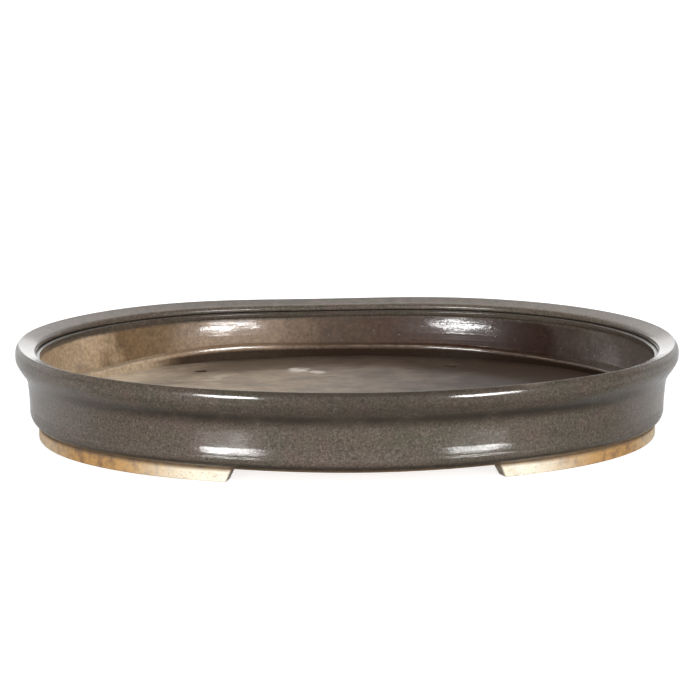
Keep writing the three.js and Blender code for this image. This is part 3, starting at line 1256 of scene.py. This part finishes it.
@dataclass
class CornerCoil(ClayMember):
    """Roll of clay in the corner of floor and wall, with a soft shoulder and an upright face.

    Args:
        back: Inset of its back against the wall.
        back_top: Height of its top at the wall.
        ridge: Ridge at the inner end of its top.
        shoulder: Corner from the ridge's facet to the upright face.
        swell: Share by which it swells at one place along the back.
        swell_angle: Angle of that place, in radians.
        swell_spread: Reach of the swelling, in radians.
        sink: Share by which it sinks at both ends.
        sink_reach: Cosines of the angle between which it sinks.
        spacing: Longest step along its section, in metres.
        face_side: Inset from which it counts as the face.
        face: Painted shade on the face, by height.
        face_along: That shade, along the pot.
        thin_ridge: Thin glaze on the ridge, by the distance from it.
        smooth_along: Where along the pot the ridge is glazed over.
        grain: Its grain.
    """

    node: ClassVar[str] = "corner_coil"
    slot: ClassVar[Slot] = Slot.INNER_GLAZE
    back: float = 15.1
    back_top: float = 23.3
    ridge: Corner = Corner(18.62, 22.6, 0.6, 0.3)
    shoulder: Corner = Corner(18.9, 21.25, 0.5)
    swell: float = 0.2
    swell_angle: float = 1.85
    swell_spread: float = 0.22
    sink: float = 0.42
    sink_reach: Range = (0.38, 0.86)
    spacing: float = 0.6 * MM
    face_side: float = 18.0
    face: Fade = Fade(21.6, 20.2)
    face_along: Fade = Fade(-100.0, -72.0, 0.05, 0.92)
    thin_ridge: Band = Band(0.0, 0.5)
    smooth_along: Band = Band(-10.0, 34.0, 0.85)
    grain: float = 0.4

    def build(self) -> bpy.types.Object:
        """Carries the coil's section round the oval.

        It swells by a bell curve of the angle at one place along the back and sinks towards both ends by
        a smooth step of the angle's cosine.

        Returns:
            The coil's object.
        """
        floor = self.plan.floor_top / MM
        corners = [
            Corner(self.back, floor),
            Corner(self.back, self.back_top),
            self.ridge,
            self.shoulder,
            Corner(self.shoulder.inset, floor),
        ]
        inset, height = section_line(corners, self.spacing).T
        angle = self.plan.angles()
        growth = self.swell * bell(angle, self.swell_angle, self.swell_spread)
        growth = growth - self.sink * smooth_step(np.abs(np.cos(angle)), *self.sink_reach)
        rise = (height - self.plan.floor_top) * (1 + growth)
        points = self.ring(inset, self.plan.floor_top + rise)
        x = points[:, 0]
        # Painted shade on the coil's upright face, which lies deep in the corner.
        face = self.around(self.face.at(height) * (inset > self.face_side * MM))
        ridge = self.around(self.thin_ridge.at(self.from_corner(self.ridge, inset, height)))
        marks = {
            "lining": np.ones(1),
            "pool_and_shade": face * self.face_along.at(x),
            "worn": ridge * (1 - self.smooth_along.at(x)),
            "grain": np.array([self.grain]),
        }
        return self.ring_mesh("corner_roll", points, marks)


@dataclass(frozen=True)
class Hole:
    """Round hole through the floor.

    Args:
        x: Place along the pot.
        y: Place across it.
        radius: Radius of its straight part.
        flare: How far its rounded mouths open.
        sides: Number of its sides.
        bends: Number of points along the rounding of a mouth.
    """

    x: float
    y: float
    radius: float
    flare: float
    sides: int = 48
    bends: int = 8

    def cutter(self, top: float, base: float) -> Surface:
        """Turned body that cuts the hole, with a rounded mouth at both faces of the floor.

        The radius grows by a quarter circle towards each face.

        Args:
            top: Height of the floor's upper face.
            base: Height of its underside.

        Returns:
            Closed surface of the body.
        """
        bend = np.linspace(0, np.pi / 2, self.bends)
        flare = self.flare * MM
        rise = np.concatenate([[base - flare], base + flare * np.sin(bend)])
        spread = np.concatenate([[flare], flare * (1 - np.cos(bend))[::-1]])
        heights = np.concatenate([rise, (top + base) - rise[::-1]])[:, None]
        radii = self.radius * MM + np.concatenate([spread, spread[::-1]])[:, None]
        turn = np.linspace(0, 2 * np.pi, self.sides, endpoint=False)
        x = self.x * MM + radii * np.cos(turn)
        y = self.y * MM + radii * np.sin(turn)
        grid = np.stack([x, y, np.broadcast_to(heights, x.shape)], axis=-1)
        lid = np.arange(self.sides)[None, :]
        last = (len(heights) - 1) * self.sides
        faces = [grid_faces(len(heights), self.sides, ring=False), lid[:, ::-1], last + lid]
        return Surface(grid.reshape(-1, 3), faces)


@dataclass
class FloorSlab(ClayMember):
    """Floor with its bevelled lower edge, two drain holes and four tie-wire holes.

    Args:
        outside: Inset of its upper outer edge, under the wall.
        ridge: Faint ridge above the bevel, from below.
        bevel: Bevel of its lower edge.
        base_edge: Edge of its underside, at the feet.
        bevel_drop: How much lower the bevel starts along the long sides.
        end_drop: How much lower it starts round the ends.
        even_inset: Inset at which the rings of its two faces start.
        rings: Number of those rings.
        holes: Its holes.
        swell: Size of the upper face's unevenness, in metres.
        swell_pitches: Lengths of its slow waves for one radian.
        swell_sway: How far the first wave sways, in radians.
        swell_edge: Share of the way to the middle on which it sets in.
        spacing: Longest step along its section, in metres.
        wall_shares: Shares of the way out between which the floor changes to its outer edge.
        shore_shares: Shares of the way out between which painted shade, with glaze pooling, sets in on
            the floor near the coil.
        shore_up: That shade, by the height over the underside.
        shore_along: That shade, along the pot.
        wiped: Where the edge is wiped bare, by the height over the underside.
        below: Where the underside is bare, by that height.
        bead: Painted shade, with glaze pooling, on the downturned rounding over the wiped edge, by that
            height.
        mouth_core: Share of a hole's flare inside which painted shade darkens it.
        mouth_up: Where painted shade darkens the holes, by the height over the underside.
        lining: Where the lining starts, by that height.
        edge_shade: Painted shade on the wiped edge.
        edge_grain: Grain of the outer edge.
        floor_grain: Grain of the floor.
    """

    node: ClassVar[str] = "floor_slab"
    slot: ClassVar[Slot] = Slot.INNER_GLAZE
    outside: float = 6.98
    ridge: tuple[Corner, ...] = (
        Corner(7.06, 14.15, 0.25),
        Corner(7.13, 14.75, 0.25),
        Corner(7.02, 15.6, 0.4),
    )
    bevel: Corner = Corner(7.77, 9.52, 4.1, 4.4, steps=20)
    base_edge: Corner = Corner(11.2, 7.0, 0.25)
    bevel_drop: float = 1.5
    end_drop: float = 1.2
    even_inset: float = 22.0
    rings: int = 44
    holes: tuple[Hole, ...] = (
        Hole(-70.0, 0.0, 11.0, 1.2),
        Hole(70.0, 0.0, 11.0, 1.2),
        Hole(-67.5, 76.8, 3.0, 0.8),
        Hole(64.1, 76.8, 3.0, 0.8),
        Hole(-67.5, -76.8, 3.0, 0.8),
        Hole(64.1, -76.8, 3.0, 0.8),
    )
    swell: float = 0.12 * MM
    swell_pitches: tuple[float, ...] = (23.0, 31.0, 17.0, 41.0)
    swell_sway: float = 1.2
    swell_edge: float = 0.15
    spacing: float = 0.7 * MM
    wall_shares: Range = (0.92, 0.9)
    shore_shares: Range = (0.50, 0.74)
    shore_up: Fade = Fade(5.0, 9.0, 0.0, 0.75)
    shore_along: Fade = Fade(-115.0, -45.0)
    wiped: Fade = Fade(1.2, 0.7)
    below: Fade = Fade(4.0, 1.0)
    bead: Band = Band(2.2, 1.1)
    mouth_core: float = 0.2
    mouth_up: Fade = Fade(3.0, 6.0)
    lining: Fade = Fade(2.0, 4.0)
    edge_shade: float = 0.7
    edge_grain: float = 0.6
    floor_grain: float = 0.1

    def build(self) -> bpy.types.Object:
        """Carries the slab's edge round the oval, closes both faces to the middle and cuts the holes.

        Each face runs from its last oval line to the middle in rings that shrink evenly. Slow sine waves
        make the upper face uneven where nothing stands on it.

        Returns:
            The floor's object.
        """
        top = self.plan.floor_top / MM
        corners = [
            Corner(self.even_inset, self.base_edge.height),
            self.base_edge,
            self.bevel,
            *self.ridge,
            Corner(self.outside, top),
            Corner(self.even_inset, top),
        ]
        inset, height = section_line(corners, self.spacing, closed=False).T
        angle = self.plan.angles()
        edge = self.plan.place(angle, inset, self.lowered(angle, height))
        shrink = np.linspace(1, 0, self.rings + 1)[1:-1]
        base_rings = self.shrunk(edge[:, 0], shrink[::-1])
        top_rings = self.shrunk(edge[:, -1], shrink)
        x, y = top_rings[..., 0], top_rings[..., 1]
        first, sway, second, slant = (pitch * MM for pitch in self.swell_pitches)
        swells = np.sin(x / first + self.swell_sway * np.sin(y / sway)) + np.sin(y / second + x / slant)
        top_rings[..., 2] += self.swell * swells * smooth_step(1 - shrink, 0, self.swell_edge)
        grid = np.concatenate([base_rings, edge, top_rings], axis=1)
        poles = [[0, 0, base_rings[:, 0, 2].mean()], [0, 0, top_rings[:, -1, 2].mean()]]
        points = np.concatenate([grid.reshape(-1, 3), poles])
        slab = clay_mesh("pot_floor", Surface(points, self.sheet_faces(grid.shape[1])))
        self.cut_holes(slab)
        mark_vertices(slab.data, self.marks(vertex_places(slab.data)))
        finish_shading(slab.data)
        return slab

    def lowered(self, angle: np.ndarray, height: np.ndarray) -> np.ndarray:
        """Lowers the start of the bevel, by the sine's square more along the long sides than at the ends.

        Args:
            angle: Angles of the stations.
            height: Heights of the section's points.

        Returns:
            Heights of the edge, one row per station.
        """
        middle = self.ridge[1].height * MM
        share = smooth_step(height, self.plan.floor_base, middle)
        share = share * smooth_step(height, self.plan.floor_top, middle)
        drop = self.end_drop + (self.bevel_drop - self.end_drop) * np.sin(angle) ** 2
        return height - drop * MM * share

    @staticmethod
    def shrunk(line: np.ndarray, shares: np.ndarray) -> np.ndarray:
        """Copies an oval line, shrunk in plan towards the middle.

        Args:
            line: Places of the line's points.
            shares: Share that each copy is shrunk to.

        Returns:
            Places by point and copy.
        """
        copies = np.repeat(line[:, None, :], len(shares), axis=1)
        copies[..., :2] *= shares[None, :, None]
        return copies

    @staticmethod
    def sheet_faces(columns: int) -> list[np.ndarray]:
        """Quads between the stations, and a fan round each pole.

        Args:
            columns: Points from the lower pole to the upper one.

        Returns:
            Blocks of faces.
        """
        first = np.arange(STATIONS) * columns
        pole = STATIONS * columns
        quads = grid_faces(STATIONS, columns, ring=True, tube=False)
        return [quads, fan_faces(first, pole)[:, [1, 0, 2]], fan_faces(first + columns - 1, pole + 1)]

    def cut_holes(self, slab: bpy.types.Object) -> None:
        """Cuts the holes out of the slab's mesh.

        Args:
            slab: The slab's object.
        """
        for number, hole in enumerate(self.holes):
            cutter = clay_mesh(f"hole_{number}", hole.cutter(self.plan.floor_top, self.plan.floor_base))
            modifier = slab.modifiers.new("hole", "BOOLEAN")
            modifier.operation = "DIFFERENCE"
            modifier.solver = "EXACT"
            modifier.object = cutter
            graph = bpy.context.evaluated_depsgraph_get()
            cut = bpy.data.meshes.new_from_object(slab.evaluated_get(graph))
            slab.modifiers.clear()
            slab.data = cut
            bpy.data.objects.remove(cutter)

    def marks(self, places: np.ndarray) -> Marks:
        """Marks the lining, the painted shade in the holes, near the coil and on the outer edge, the
        wiped edge and the bare underside.

        Args:
            places: Vertex places of the cut slab.

        Returns:
            Values per vertex, by attribute name.
        """
        x, y, height = places.T
        outwards = np.hypot(x / self.plan.half_length, y / self.plan.half_width)
        within = smooth_step(outwards, *self.wall_shares)
        up = height - self.plan.floor_base
        over = up + self.plan.hang(x) * smooth_step(height, self.plan.floor_top, self.plan.floor_base)
        # Painted shade on the floor near the coil, and in the holes.
        shore = smooth_step(outwards, *self.shore_shares) * self.shore_up.at(up) * self.shore_along.at(x)
        mouths = np.zeros(len(places))
        for hole in self.holes:
            middle = np.hypot(x - hole.x * MM, y - hole.y * MM)
            mouth = Fade(hole.radius + hole.flare, hole.radius + self.mouth_core * hole.flare)
            mouths = np.maximum(mouths, mouth.at(middle) * self.mouth_up.at(up))
        return {
            "lining": within * self.lining.at(up),
            "bare": np.maximum(self.wiped.at(over), within * self.below.at(over)),
            # Painted shade over the wiped edge, in the holes and near the coil.
            "pool_and_shade": np.maximum(self.bead.at(over) * (1 - within), np.maximum(mouths, shore) * within),
            # Painted shade on the wiped outer edge.
            "painted_shade": (1 - within) * self.edge_shade,
            "grain": np.where(outwards > self.wall_shares[0], self.edge_grain, self.floor_grain),
        }


@dataclass
class Foot(ClayMember):
    """Bare clay strip bent round one end, with its two ends cut at a slant.

    Args:
        side: End that it goes round.
        outside: Inset of its outer face.
        sole_width: Width on the ground.
        top_width: Width at the top.
        top_round: Rounding of its upper outer edge.
        edge_round: Rounding of its edges on the ground.
        gap: Distance between the two feet.
        gap_shift: How far the middle of that gap lies along X.
        end_lean: How much further its ends reach at the top.
        end_round: Rounding of its ends.
        end_reach: Length of half the foot, from which that rounding takes its share.
        end_steps: Number of steps along the rounding of an end.
        stations: Number of sections between the ends.
        spacing: Longest step along its section, in metres.
        gap_light: Painted light near the gap, by the distance from it.
        end_pale: Paler part round the end, by that distance.
        top_edge: Painted shade on the upper edge, by the height from its top.
        cut_shade: Painted shade on the cut ends.
        top_shade: Painted shade on the upper edge.
    """

    slot: ClassVar[Slot] = Slot.BARE_CLAY
    side: Side
    outside: float = 11.2
    sole_width: float = 7.0
    top_width: float = 10.0
    top_round: float = 0.7
    edge_round: float = 0.9
    gap: float = 132.0
    gap_shift: float = -4.5
    end_lean: float = 2.8
    end_round: float = 0.8
    end_reach: float = 150.0
    end_steps: int = 6
    stations: int = 260
    spacing: float = 0.8 * MM
    gap_light: Fade = Fade(52.0, 6.0)
    end_pale: Fade = Fade(65.0, 90.0, 0.0, 0.6)
    top_edge: Fade = Fade(-2.2, -0.2)
    cut_shade: float = 0.75
    top_shade: float = 0.8

    @property
    def node(self) -> str:
        """Name of the CAD node at this end."""
        return f"{self.side.name.lower()}_foot"

    def build(self) -> bpy.types.Object:
        """Bends the foot's section round its end of the oval.

        The share along the foot runs from -1 at the front gap to 1 at the back gap and is turned into an
        angle between the two cut ends, which reach further at the top. Near each end the section draws in
        by a quarter circle, and the last section is closed to its middle.

        Returns:
            The foot's object.
        """
        height_top = self.plan.floor_base / MM
        corners = [
            Corner(self.outside, height_top, self.top_round),
            Corner(self.outside, 0.0, self.edge_round),
            Corner(self.outside + self.sole_width, 0.0, self.edge_round),
            Corner(self.outside + self.top_width, height_top),
        ]
        line = section_line(corners, self.spacing)
        turn = np.linspace(0, np.pi / 2, self.end_steps + 1)[1:]
        rounding = self.end_round / self.end_reach
        end_shares = 1 - rounding * (1 - np.sin(turn))
        middle = np.linspace(-1, 1, self.stations) * (1 - rounding)
        shares = np.concatenate([-end_shares[::-1], middle, end_shares])
        draw_in = self.end_round * MM * (1 - np.cos(turn))
        pulls = np.concatenate([draw_in[::-1], np.zeros(self.stations), draw_in])
        centre = line.mean(axis=0)
        arm = line - centre
        reach = np.linalg.norm(arm, axis=1, keepdims=True)
        grid = centre + arm[None] * (1 - pulls[:, None, None] / reach[None])
        inset, height = grid[..., 0], grid[..., 1]
        half_gap = self.gap / 2 + self.side.value * self.gap_shift
        lean = self.end_lean * MM * height / self.plan.floor_base
        span = self.plan.angle_at(half_gap * MM - lean, self.outside * MM)
        start = np.pi if self.side is Side.LEFT else 0.0
        places = self.plan.place(start + shares[:, None] * span, inset, height)
        rows, columns = places.shape[:2]
        number, last, pole = np.arange(columns), (rows - 1) * columns, rows * columns
        faces = [
            grid_faces(rows, columns, ring=False),
            fan_faces(number, pole),
            fan_faces(last + number, pole + 1)[:, ::-1],
        ]
        points = np.concatenate([places.reshape(-1, 3), places[[0, -1]].mean(axis=1)])
        cut = smooth_step(np.abs(np.append(np.repeat(shares, columns), [-1.0, 1.0])), 1 - rounding, 1)
        from_gap = np.abs(points[:, 0]) - half_gap * MM
        top_edge = self.top_edge.at(points[:, 2] - self.plan.floor_base)
        # Painted light near the gaps, and paler clay round the ends.
        pale_and_lit = np.maximum(self.gap_light.at(from_gap), self.end_pale.at(from_gap))
        marks = {
            "pale_and_lit": pale_and_lit * (1 - top_edge),
            # Painted shade on the cut ends and on the upper edge under the body.
            "painted_shade": np.maximum(cut * self.cut_shade, top_edge * self.top_shade),
        }
        return clay_mesh(f"clay_foot_{self.side.name.lower()}", Surface(points, faces, marks))


@dataclass(frozen=True)
class Softbox:
    """Soft elliptic lamp aimed at the pot, in metres.

    Args:
        name: Its name.
        azimuth: Degrees from the front, positive to the right.
        elevation: Degrees over the ground.
        distance: Distance from the pot.
        width: Width of its face.
        height: Height of its face.
        power: Power in watts.
        mirrored: Whether the glaze mirrors it.
    """

    name: str
    azimuth: float
    elevation: float
    distance: float
    width: float
    height: float
    power: float
    mirrored: bool = True

    def hang(self) -> None:
        """Puts the lamp into the scene."""
        lamp = bpy.data.lights.new(self.name, "AREA")
        lamp.shape = "ELLIPSE"
        lamp.size = self.width
        lamp.size_y = self.height
        lamp.energy = self.power
        item = bpy.data.objects.new(self.name, lamp)
        item.location = bearing(self.azimuth, self.elevation) * self.distance
        item.rotation_euler = item.location.to_track_quat("Z", "Y").to_euler()
        item.visible_camera = False
        item.visible_glossy = self.mirrored
        bpy.context.scene.collection.objects.link(item)


def bearing(azimuth: float, elevation: float) -> Vector:
    """Unit vector from the pot, in degrees from the front and over the ground."""
    turn, lift = math.radians(azimuth), math.radians(elevation)
    return Vector((math.sin(turn) * math.cos(lift), -math.cos(turn) * math.cos(lift), math.sin(lift)))


@dataclass
class Studio:
    """White table, white surroundings, soft lamps and the camera.

    Reaches on the table are shares of the pot's own half length and half width.

    Args:
        plan: Plan of the pot that stands in the studio.
        softboxes: The lamps.
        table_radius: Radius of the table.
        table_sides: Number of its sides.
        table_colour: Its colour.
        table_lift: How white it is for the camera, near the pot and far away.
        table_lift_reach: Reaches between which that changes.
        table_bounce: Faint light that it gives the pot's underside.
        table_bounce_reach: Reaches between which that light ends.
        table_in_front: Its colour in reflections, in front of the pot.
        table_behind: Its colour in reflections, behind the pot.
        table_turn: Places across the pot between which that changes.
        table_mirror: How much it mirrors the lamps in reflections.
        table_mirror_reach: Reaches between which that ends.
        table_mirror_front: Places across the pot between which it sets in.
        table_gloss: Roughness of that mirror.
        surround: Even light all round.
        room_dark: Brightness of the room in front, in reflections.
        backdrop_reach: Directions between which it changes to the white backdrop.
        camera_azimuth: Degrees of the camera from the front.
        camera_elevation: Its degrees over the ground.
        camera_roll: Its roll in degrees.
        camera_distance: Its distance from the origin.
        lens: Focal length.
        sensor: Width of the sensor.
        picture_width: Width and height of the picture in pixels.
        origin_pixel: Pixel on which the origin falls.
    """

    plan: OvalPlan
    softboxes: tuple[Softbox, ...] = (
        Softbox("left_softbox", -33.0, 12.6, 1.6, 0.54, 0.12, 8),
        Softbox("right_softbox", 33.0, 11.4, 1.6, 0.52, 0.11, 7),
        Softbox("back_softbox", 180, 9, 2.2, 1.6, 0.6, 2.0),
        Softbox("left_fill", -100, 14, 2.0, 1.2, 0.8, 5, mirrored=False),
        Softbox("right_fill", 100, 14, 2.0, 1.2, 0.8, 2.4, mirrored=False),
        Softbox("front_fill", 0, 20, 1.9, 3.0, 0.9, 22.5, mirrored=False),
        Softbox("high_fill", 180, 60, 2.0, 1.6, 0.9, 11.5, mirrored=False),
        Softbox("back_fill", 180, 20, 2.2, 1.6, 0.6, 6, mirrored=False),
    )
    table_radius: float = 5.0
    table_sides: int = 96
    table_colour: Colour = (0.5, 0.5, 0.5)
    table_lift: Range = (0.8, 1.0)
    table_lift_reach: Range = (1.3, 4.0)
    table_bounce: float = 0.3
    table_bounce_reach: Range = (0.72, 0.9)
    table_in_front: Colour = (0.12, 0.12, 0.12)
    table_behind: Colour = (0.75, 0.75, 0.75)
    table_turn: Range = (-0.16, 0.0)
    table_mirror: float = 0.92
    table_mirror_reach: Range = (1.74, 1.98)
    table_mirror_front: Range = (-0.05, -0.10)
    table_gloss: float = 0.1
    surround: float = 0.32
    room_dark: float = 0.08
    backdrop_reach: Range = (0.05, 0.6)
    camera_azimuth: float = -7.05
    camera_elevation: float = 12.45
    camera_roll: float = 0.25
    camera_distance: float = 1.750
    lens: float = 180.0
    sensor: float = 36.0
    picture_width: int = 700
    origin_pixel: Range = (348.0, 431.0)

    def build(self) -> None:
        """Sets up the whole studio."""
        self.lay_table()
        self.set_surroundings()
        for softbox in self.softboxes:
            softbox.hang()
        self.place_camera()
        bpy.context.scene.view_settings.view_transform = "Standard"

    def lay_table(self) -> None:
        """Lays the table, a flat disc."""
        turn = np.linspace(0, 2 * np.pi, self.table_sides, endpoint=False)
        rim = np.stack([np.cos(turn), np.sin(turn), np.zeros(self.table_sides)], axis=-1)
        mesh = bpy.data.meshes.new("table")
        mesh.from_pydata((rim * self.table_radius).tolist(), [], [list(range(self.table_sides))])
        table = bpy.data.objects.new("table", mesh)
        bpy.context.scene.collection.objects.link(table)
        mesh.materials.append(self.table_material())

    def table_material(self) -> bpy.types.Material:
        """Makes the table matt and white for the camera.

        In reflections it mirrors the lamps in front of the pot and is pale behind it. It gives a faint
        light to the underside of the pot and is clear from below.

        Returns:
            The material.
        """
        material, sheet = new_material("table_white")
        path = sheet.add("ShaderNodeLightPath").outputs
        away = sheet.away(0.0, 0.0, self.plan.half_length, self.plan.half_width)
        seen = sheet.span(away, *self.table_lift_reach, *self.table_lift)
        bounce = sheet.span(away, *self.table_bounce_reach, self.table_bounce, 0.0)
        bounce = sheet.product(path["Is Diffuse Ray"], bounce)
        lift = sheet.greater(sheet.product(path["Is Camera Ray"], seen), bounce)
        turn = sheet.span(sheet.axis("Y"), *self.table_turn)
        mirrored = sheet.blend(turn, self.table_in_front, self.table_behind)
        colour = sheet.blend(path["Is Glossy Ray"], self.table_colour, mirrored)
        matt = sheet.add("ShaderNodeBsdfDiffuse", {"Color": colour}).outputs["BSDF"]
        own = sheet.add("ShaderNodeEmission", {"Strength": lift}).outputs["Emission"]
        both = sheet.add("ShaderNodeAddShader", {0: matt, 1: own}).outputs["Shader"]
        polish = {"Color": WHITE, "Roughness": self.table_gloss}
        mirror = sheet.add("ShaderNodeBsdfGlossy", polish).outputs["BSDF"]
        share = sheet.span(away, *self.table_mirror_reach, self.table_mirror, 0.0)
        share = sheet.product(share, sheet.span(sheet.axis("Y"), *self.table_mirror_front))
        share = sheet.product(share, path["Is Glossy Ray"])
        clear = sheet.add("ShaderNodeBsdfTransparent").outputs["BSDF"]
        below = sheet.add("ShaderNodeNewGeometry").outputs["Backfacing"]
        sheet.show(sheet.mixed(below, sheet.mixed(share, both, mirror), clear))
        return material

    def set_surroundings(self) -> None:
        """White for the camera, a white backdrop behind the pot in reflections, else an even light."""
        world = bpy.data.worlds.new("studio")
        bpy.context.scene.world = world
        world.use_nodes = True
        sheet = NodeSheet(world.node_tree, "ShaderNodeOutputWorld")
        path = sheet.add("ShaderNodeLightPath").outputs
        backdrop = sheet.span(sheet.axis("Y", "Generated"), *self.backdrop_reach, self.room_dark, 1.0)
        seen = sheet.greater(backdrop, path["Is Camera Ray"])
        either = sheet.greater(path["Is Camera Ray"], path["Is Glossy Ray"])
        even = sheet.add("ShaderNodeBackground", {"Strength": self.surround}).outputs["Background"]
        shown = sheet.add("ShaderNodeBackground", {"Strength": seen}).outputs["Background"]
        sheet.show(sheet.mixed(either, even, shown))

    def place_camera(self) -> None:
        """Stands the camera on its bearing and turns it so that the origin falls on its pixel."""
        place = bearing(self.camera_azimuth, self.camera_elevation) * self.camera_distance
        back = place.normalized()
        right = bearing(self.camera_azimuth + 90, 0)
        up = back.cross(right)
        right, up = self.turned(right, up, math.radians(self.camera_roll))
        pixels = self.lens / self.sensor * self.picture_width
        middle = self.picture_width / 2
        up, back = self.turned(up, back, math.atan((self.origin_pixel[1] - middle) / pixels))
        right, back = self.turned(right, back, math.atan((middle - self.origin_pixel[0]) / pixels))
        lens = bpy.data.cameras.new("camera")
        lens.lens = self.lens
        lens.sensor_width = self.sensor
        camera = bpy.data.objects.new("camera", lens)
        camera.matrix_world = Matrix.Translation(place) @ Matrix((right, up, back)).transposed().to_4x4()
        bpy.context.scene.collection.objects.link(camera)
        bpy.context.scene.camera = camera

    @staticmethod
    def turned(first: Vector, second: Vector, angle: float) -> tuple[Vector, Vector]:
        """Two square axes turned in their plane, the first towards the second."""
        cos, sin = math.cos(angle), math.sin(angle)
        return first * cos + second * sin, second * cos - first * sin


WALL_LINING = InnerGlaze(
    run=(
        (-160.0, (0.440, 0.315, 0.198)),
        (-119.0, (0.480, 0.345, 0.218)),
        (-109.0, (0.180, 0.110, 0.054)),
        (-88.0, (0.175, 0.109, 0.056)),
        (-66.0, (0.290, 0.198, 0.126)),
        (-30.0, (0.240, 0.158, 0.099)),
        (0.0, (0.100, 0.062, 0.038)),
        (45.0, (0.062, 0.029, 0.016)),
        (80.0, (0.031, 0.011, 0.005)),
        (116.0, (0.025, 0.010, 0.006)),
        (138.0, (0.100, 0.078, 0.065)),
        (160.0, (0.100, 0.078, 0.065)),
    ),
)
COIL_LINING = InnerGlaze(
    run=(
        (-160.0, (0.580, 0.450, 0.310)),
        (-106.0, (0.540, 0.415, 0.285)),
        (-80.0, (0.300, 0.205, 0.128)),
        (-30.0, (0.240, 0.158, 0.099)),
        (0.0, (0.100, 0.062, 0.038)),
        (80.0, (0.050, 0.024, 0.014)),
        (160.0, (0.090, 0.068, 0.056)),
    ),
)
FLOOR_LINING = InnerGlaze(
    run=(
        # The pale colours at the left end are raised partly as painted light, against the shade of the
        # wall and coil there.
        (-160.0, (0.740, 0.600, 0.440)),
        (-110.0, (0.700, 0.565, 0.415)),
        (-50.0, (0.400, 0.308, 0.224)),
        (0.0, (0.270, 0.212, 0.165)),
        (70.0, (0.090, 0.064, 0.050)),
        (160.0, (0.065, 0.048, 0.039)),
    ),
    grey=(0.130, 0.112, 0.098),
    pool_and_shade_colour=(0.050, 0.029, 0.016),
    grey_share=0.45,
    speck_share=0.1,
    draw=(0.22, 1.0, 1.0),
    drift=24.0,
    mottle=Cloud(2.0, 0.3, 0.7, 0.76, 1.22, detail=4, roughness=0.7, shift=0.7),
    smears=(Smear(-17.4, 73.7, 6.0, 1.0), Smear(-8.6, 67.6, 5.0, 0.9), Smear(-59.8, 59.7, 5.5, 0.45)),
)
POT_GLAZE = PotFinish("pot_glaze", WALL_LINING)
COIL_GLAZE = PotFinish("coil_glaze", COIL_LINING)
FLOOR_GLAZE = PotFinish("floor_glaze", FLOOR_LINING, lining_skin=0.0, body_gloss=0.56, inner_glow=0.76)


def main() -> None:
    """Builds the studio and the pot's members in order."""
    logging.basicConfig(level=logging.INFO, format="%(name)s: %(message)s")
    plan = OvalPlan.from_frame()
    Studio(plan).build()
    finishes = (POT_GLAZE, COIL_GLAZE, FLOOR_GLAZE, FootFinish())
    pot_glaze, coil_glaze, floor_glaze, clay = (finish.material() for finish in finishes)
    members = [
        RimLip(plan, pot_glaze),
        WallBand(plan, pot_glaze),
        CornerCoil(plan, coil_glaze),
        FloorSlab(plan, floor_glaze),
        Foot(plan, clay, Side.LEFT),
        Foot(plan, clay, Side.RIGHT),
    ]
    for member in members:
        member.dress()


if __name__ == "__main__":
    main()
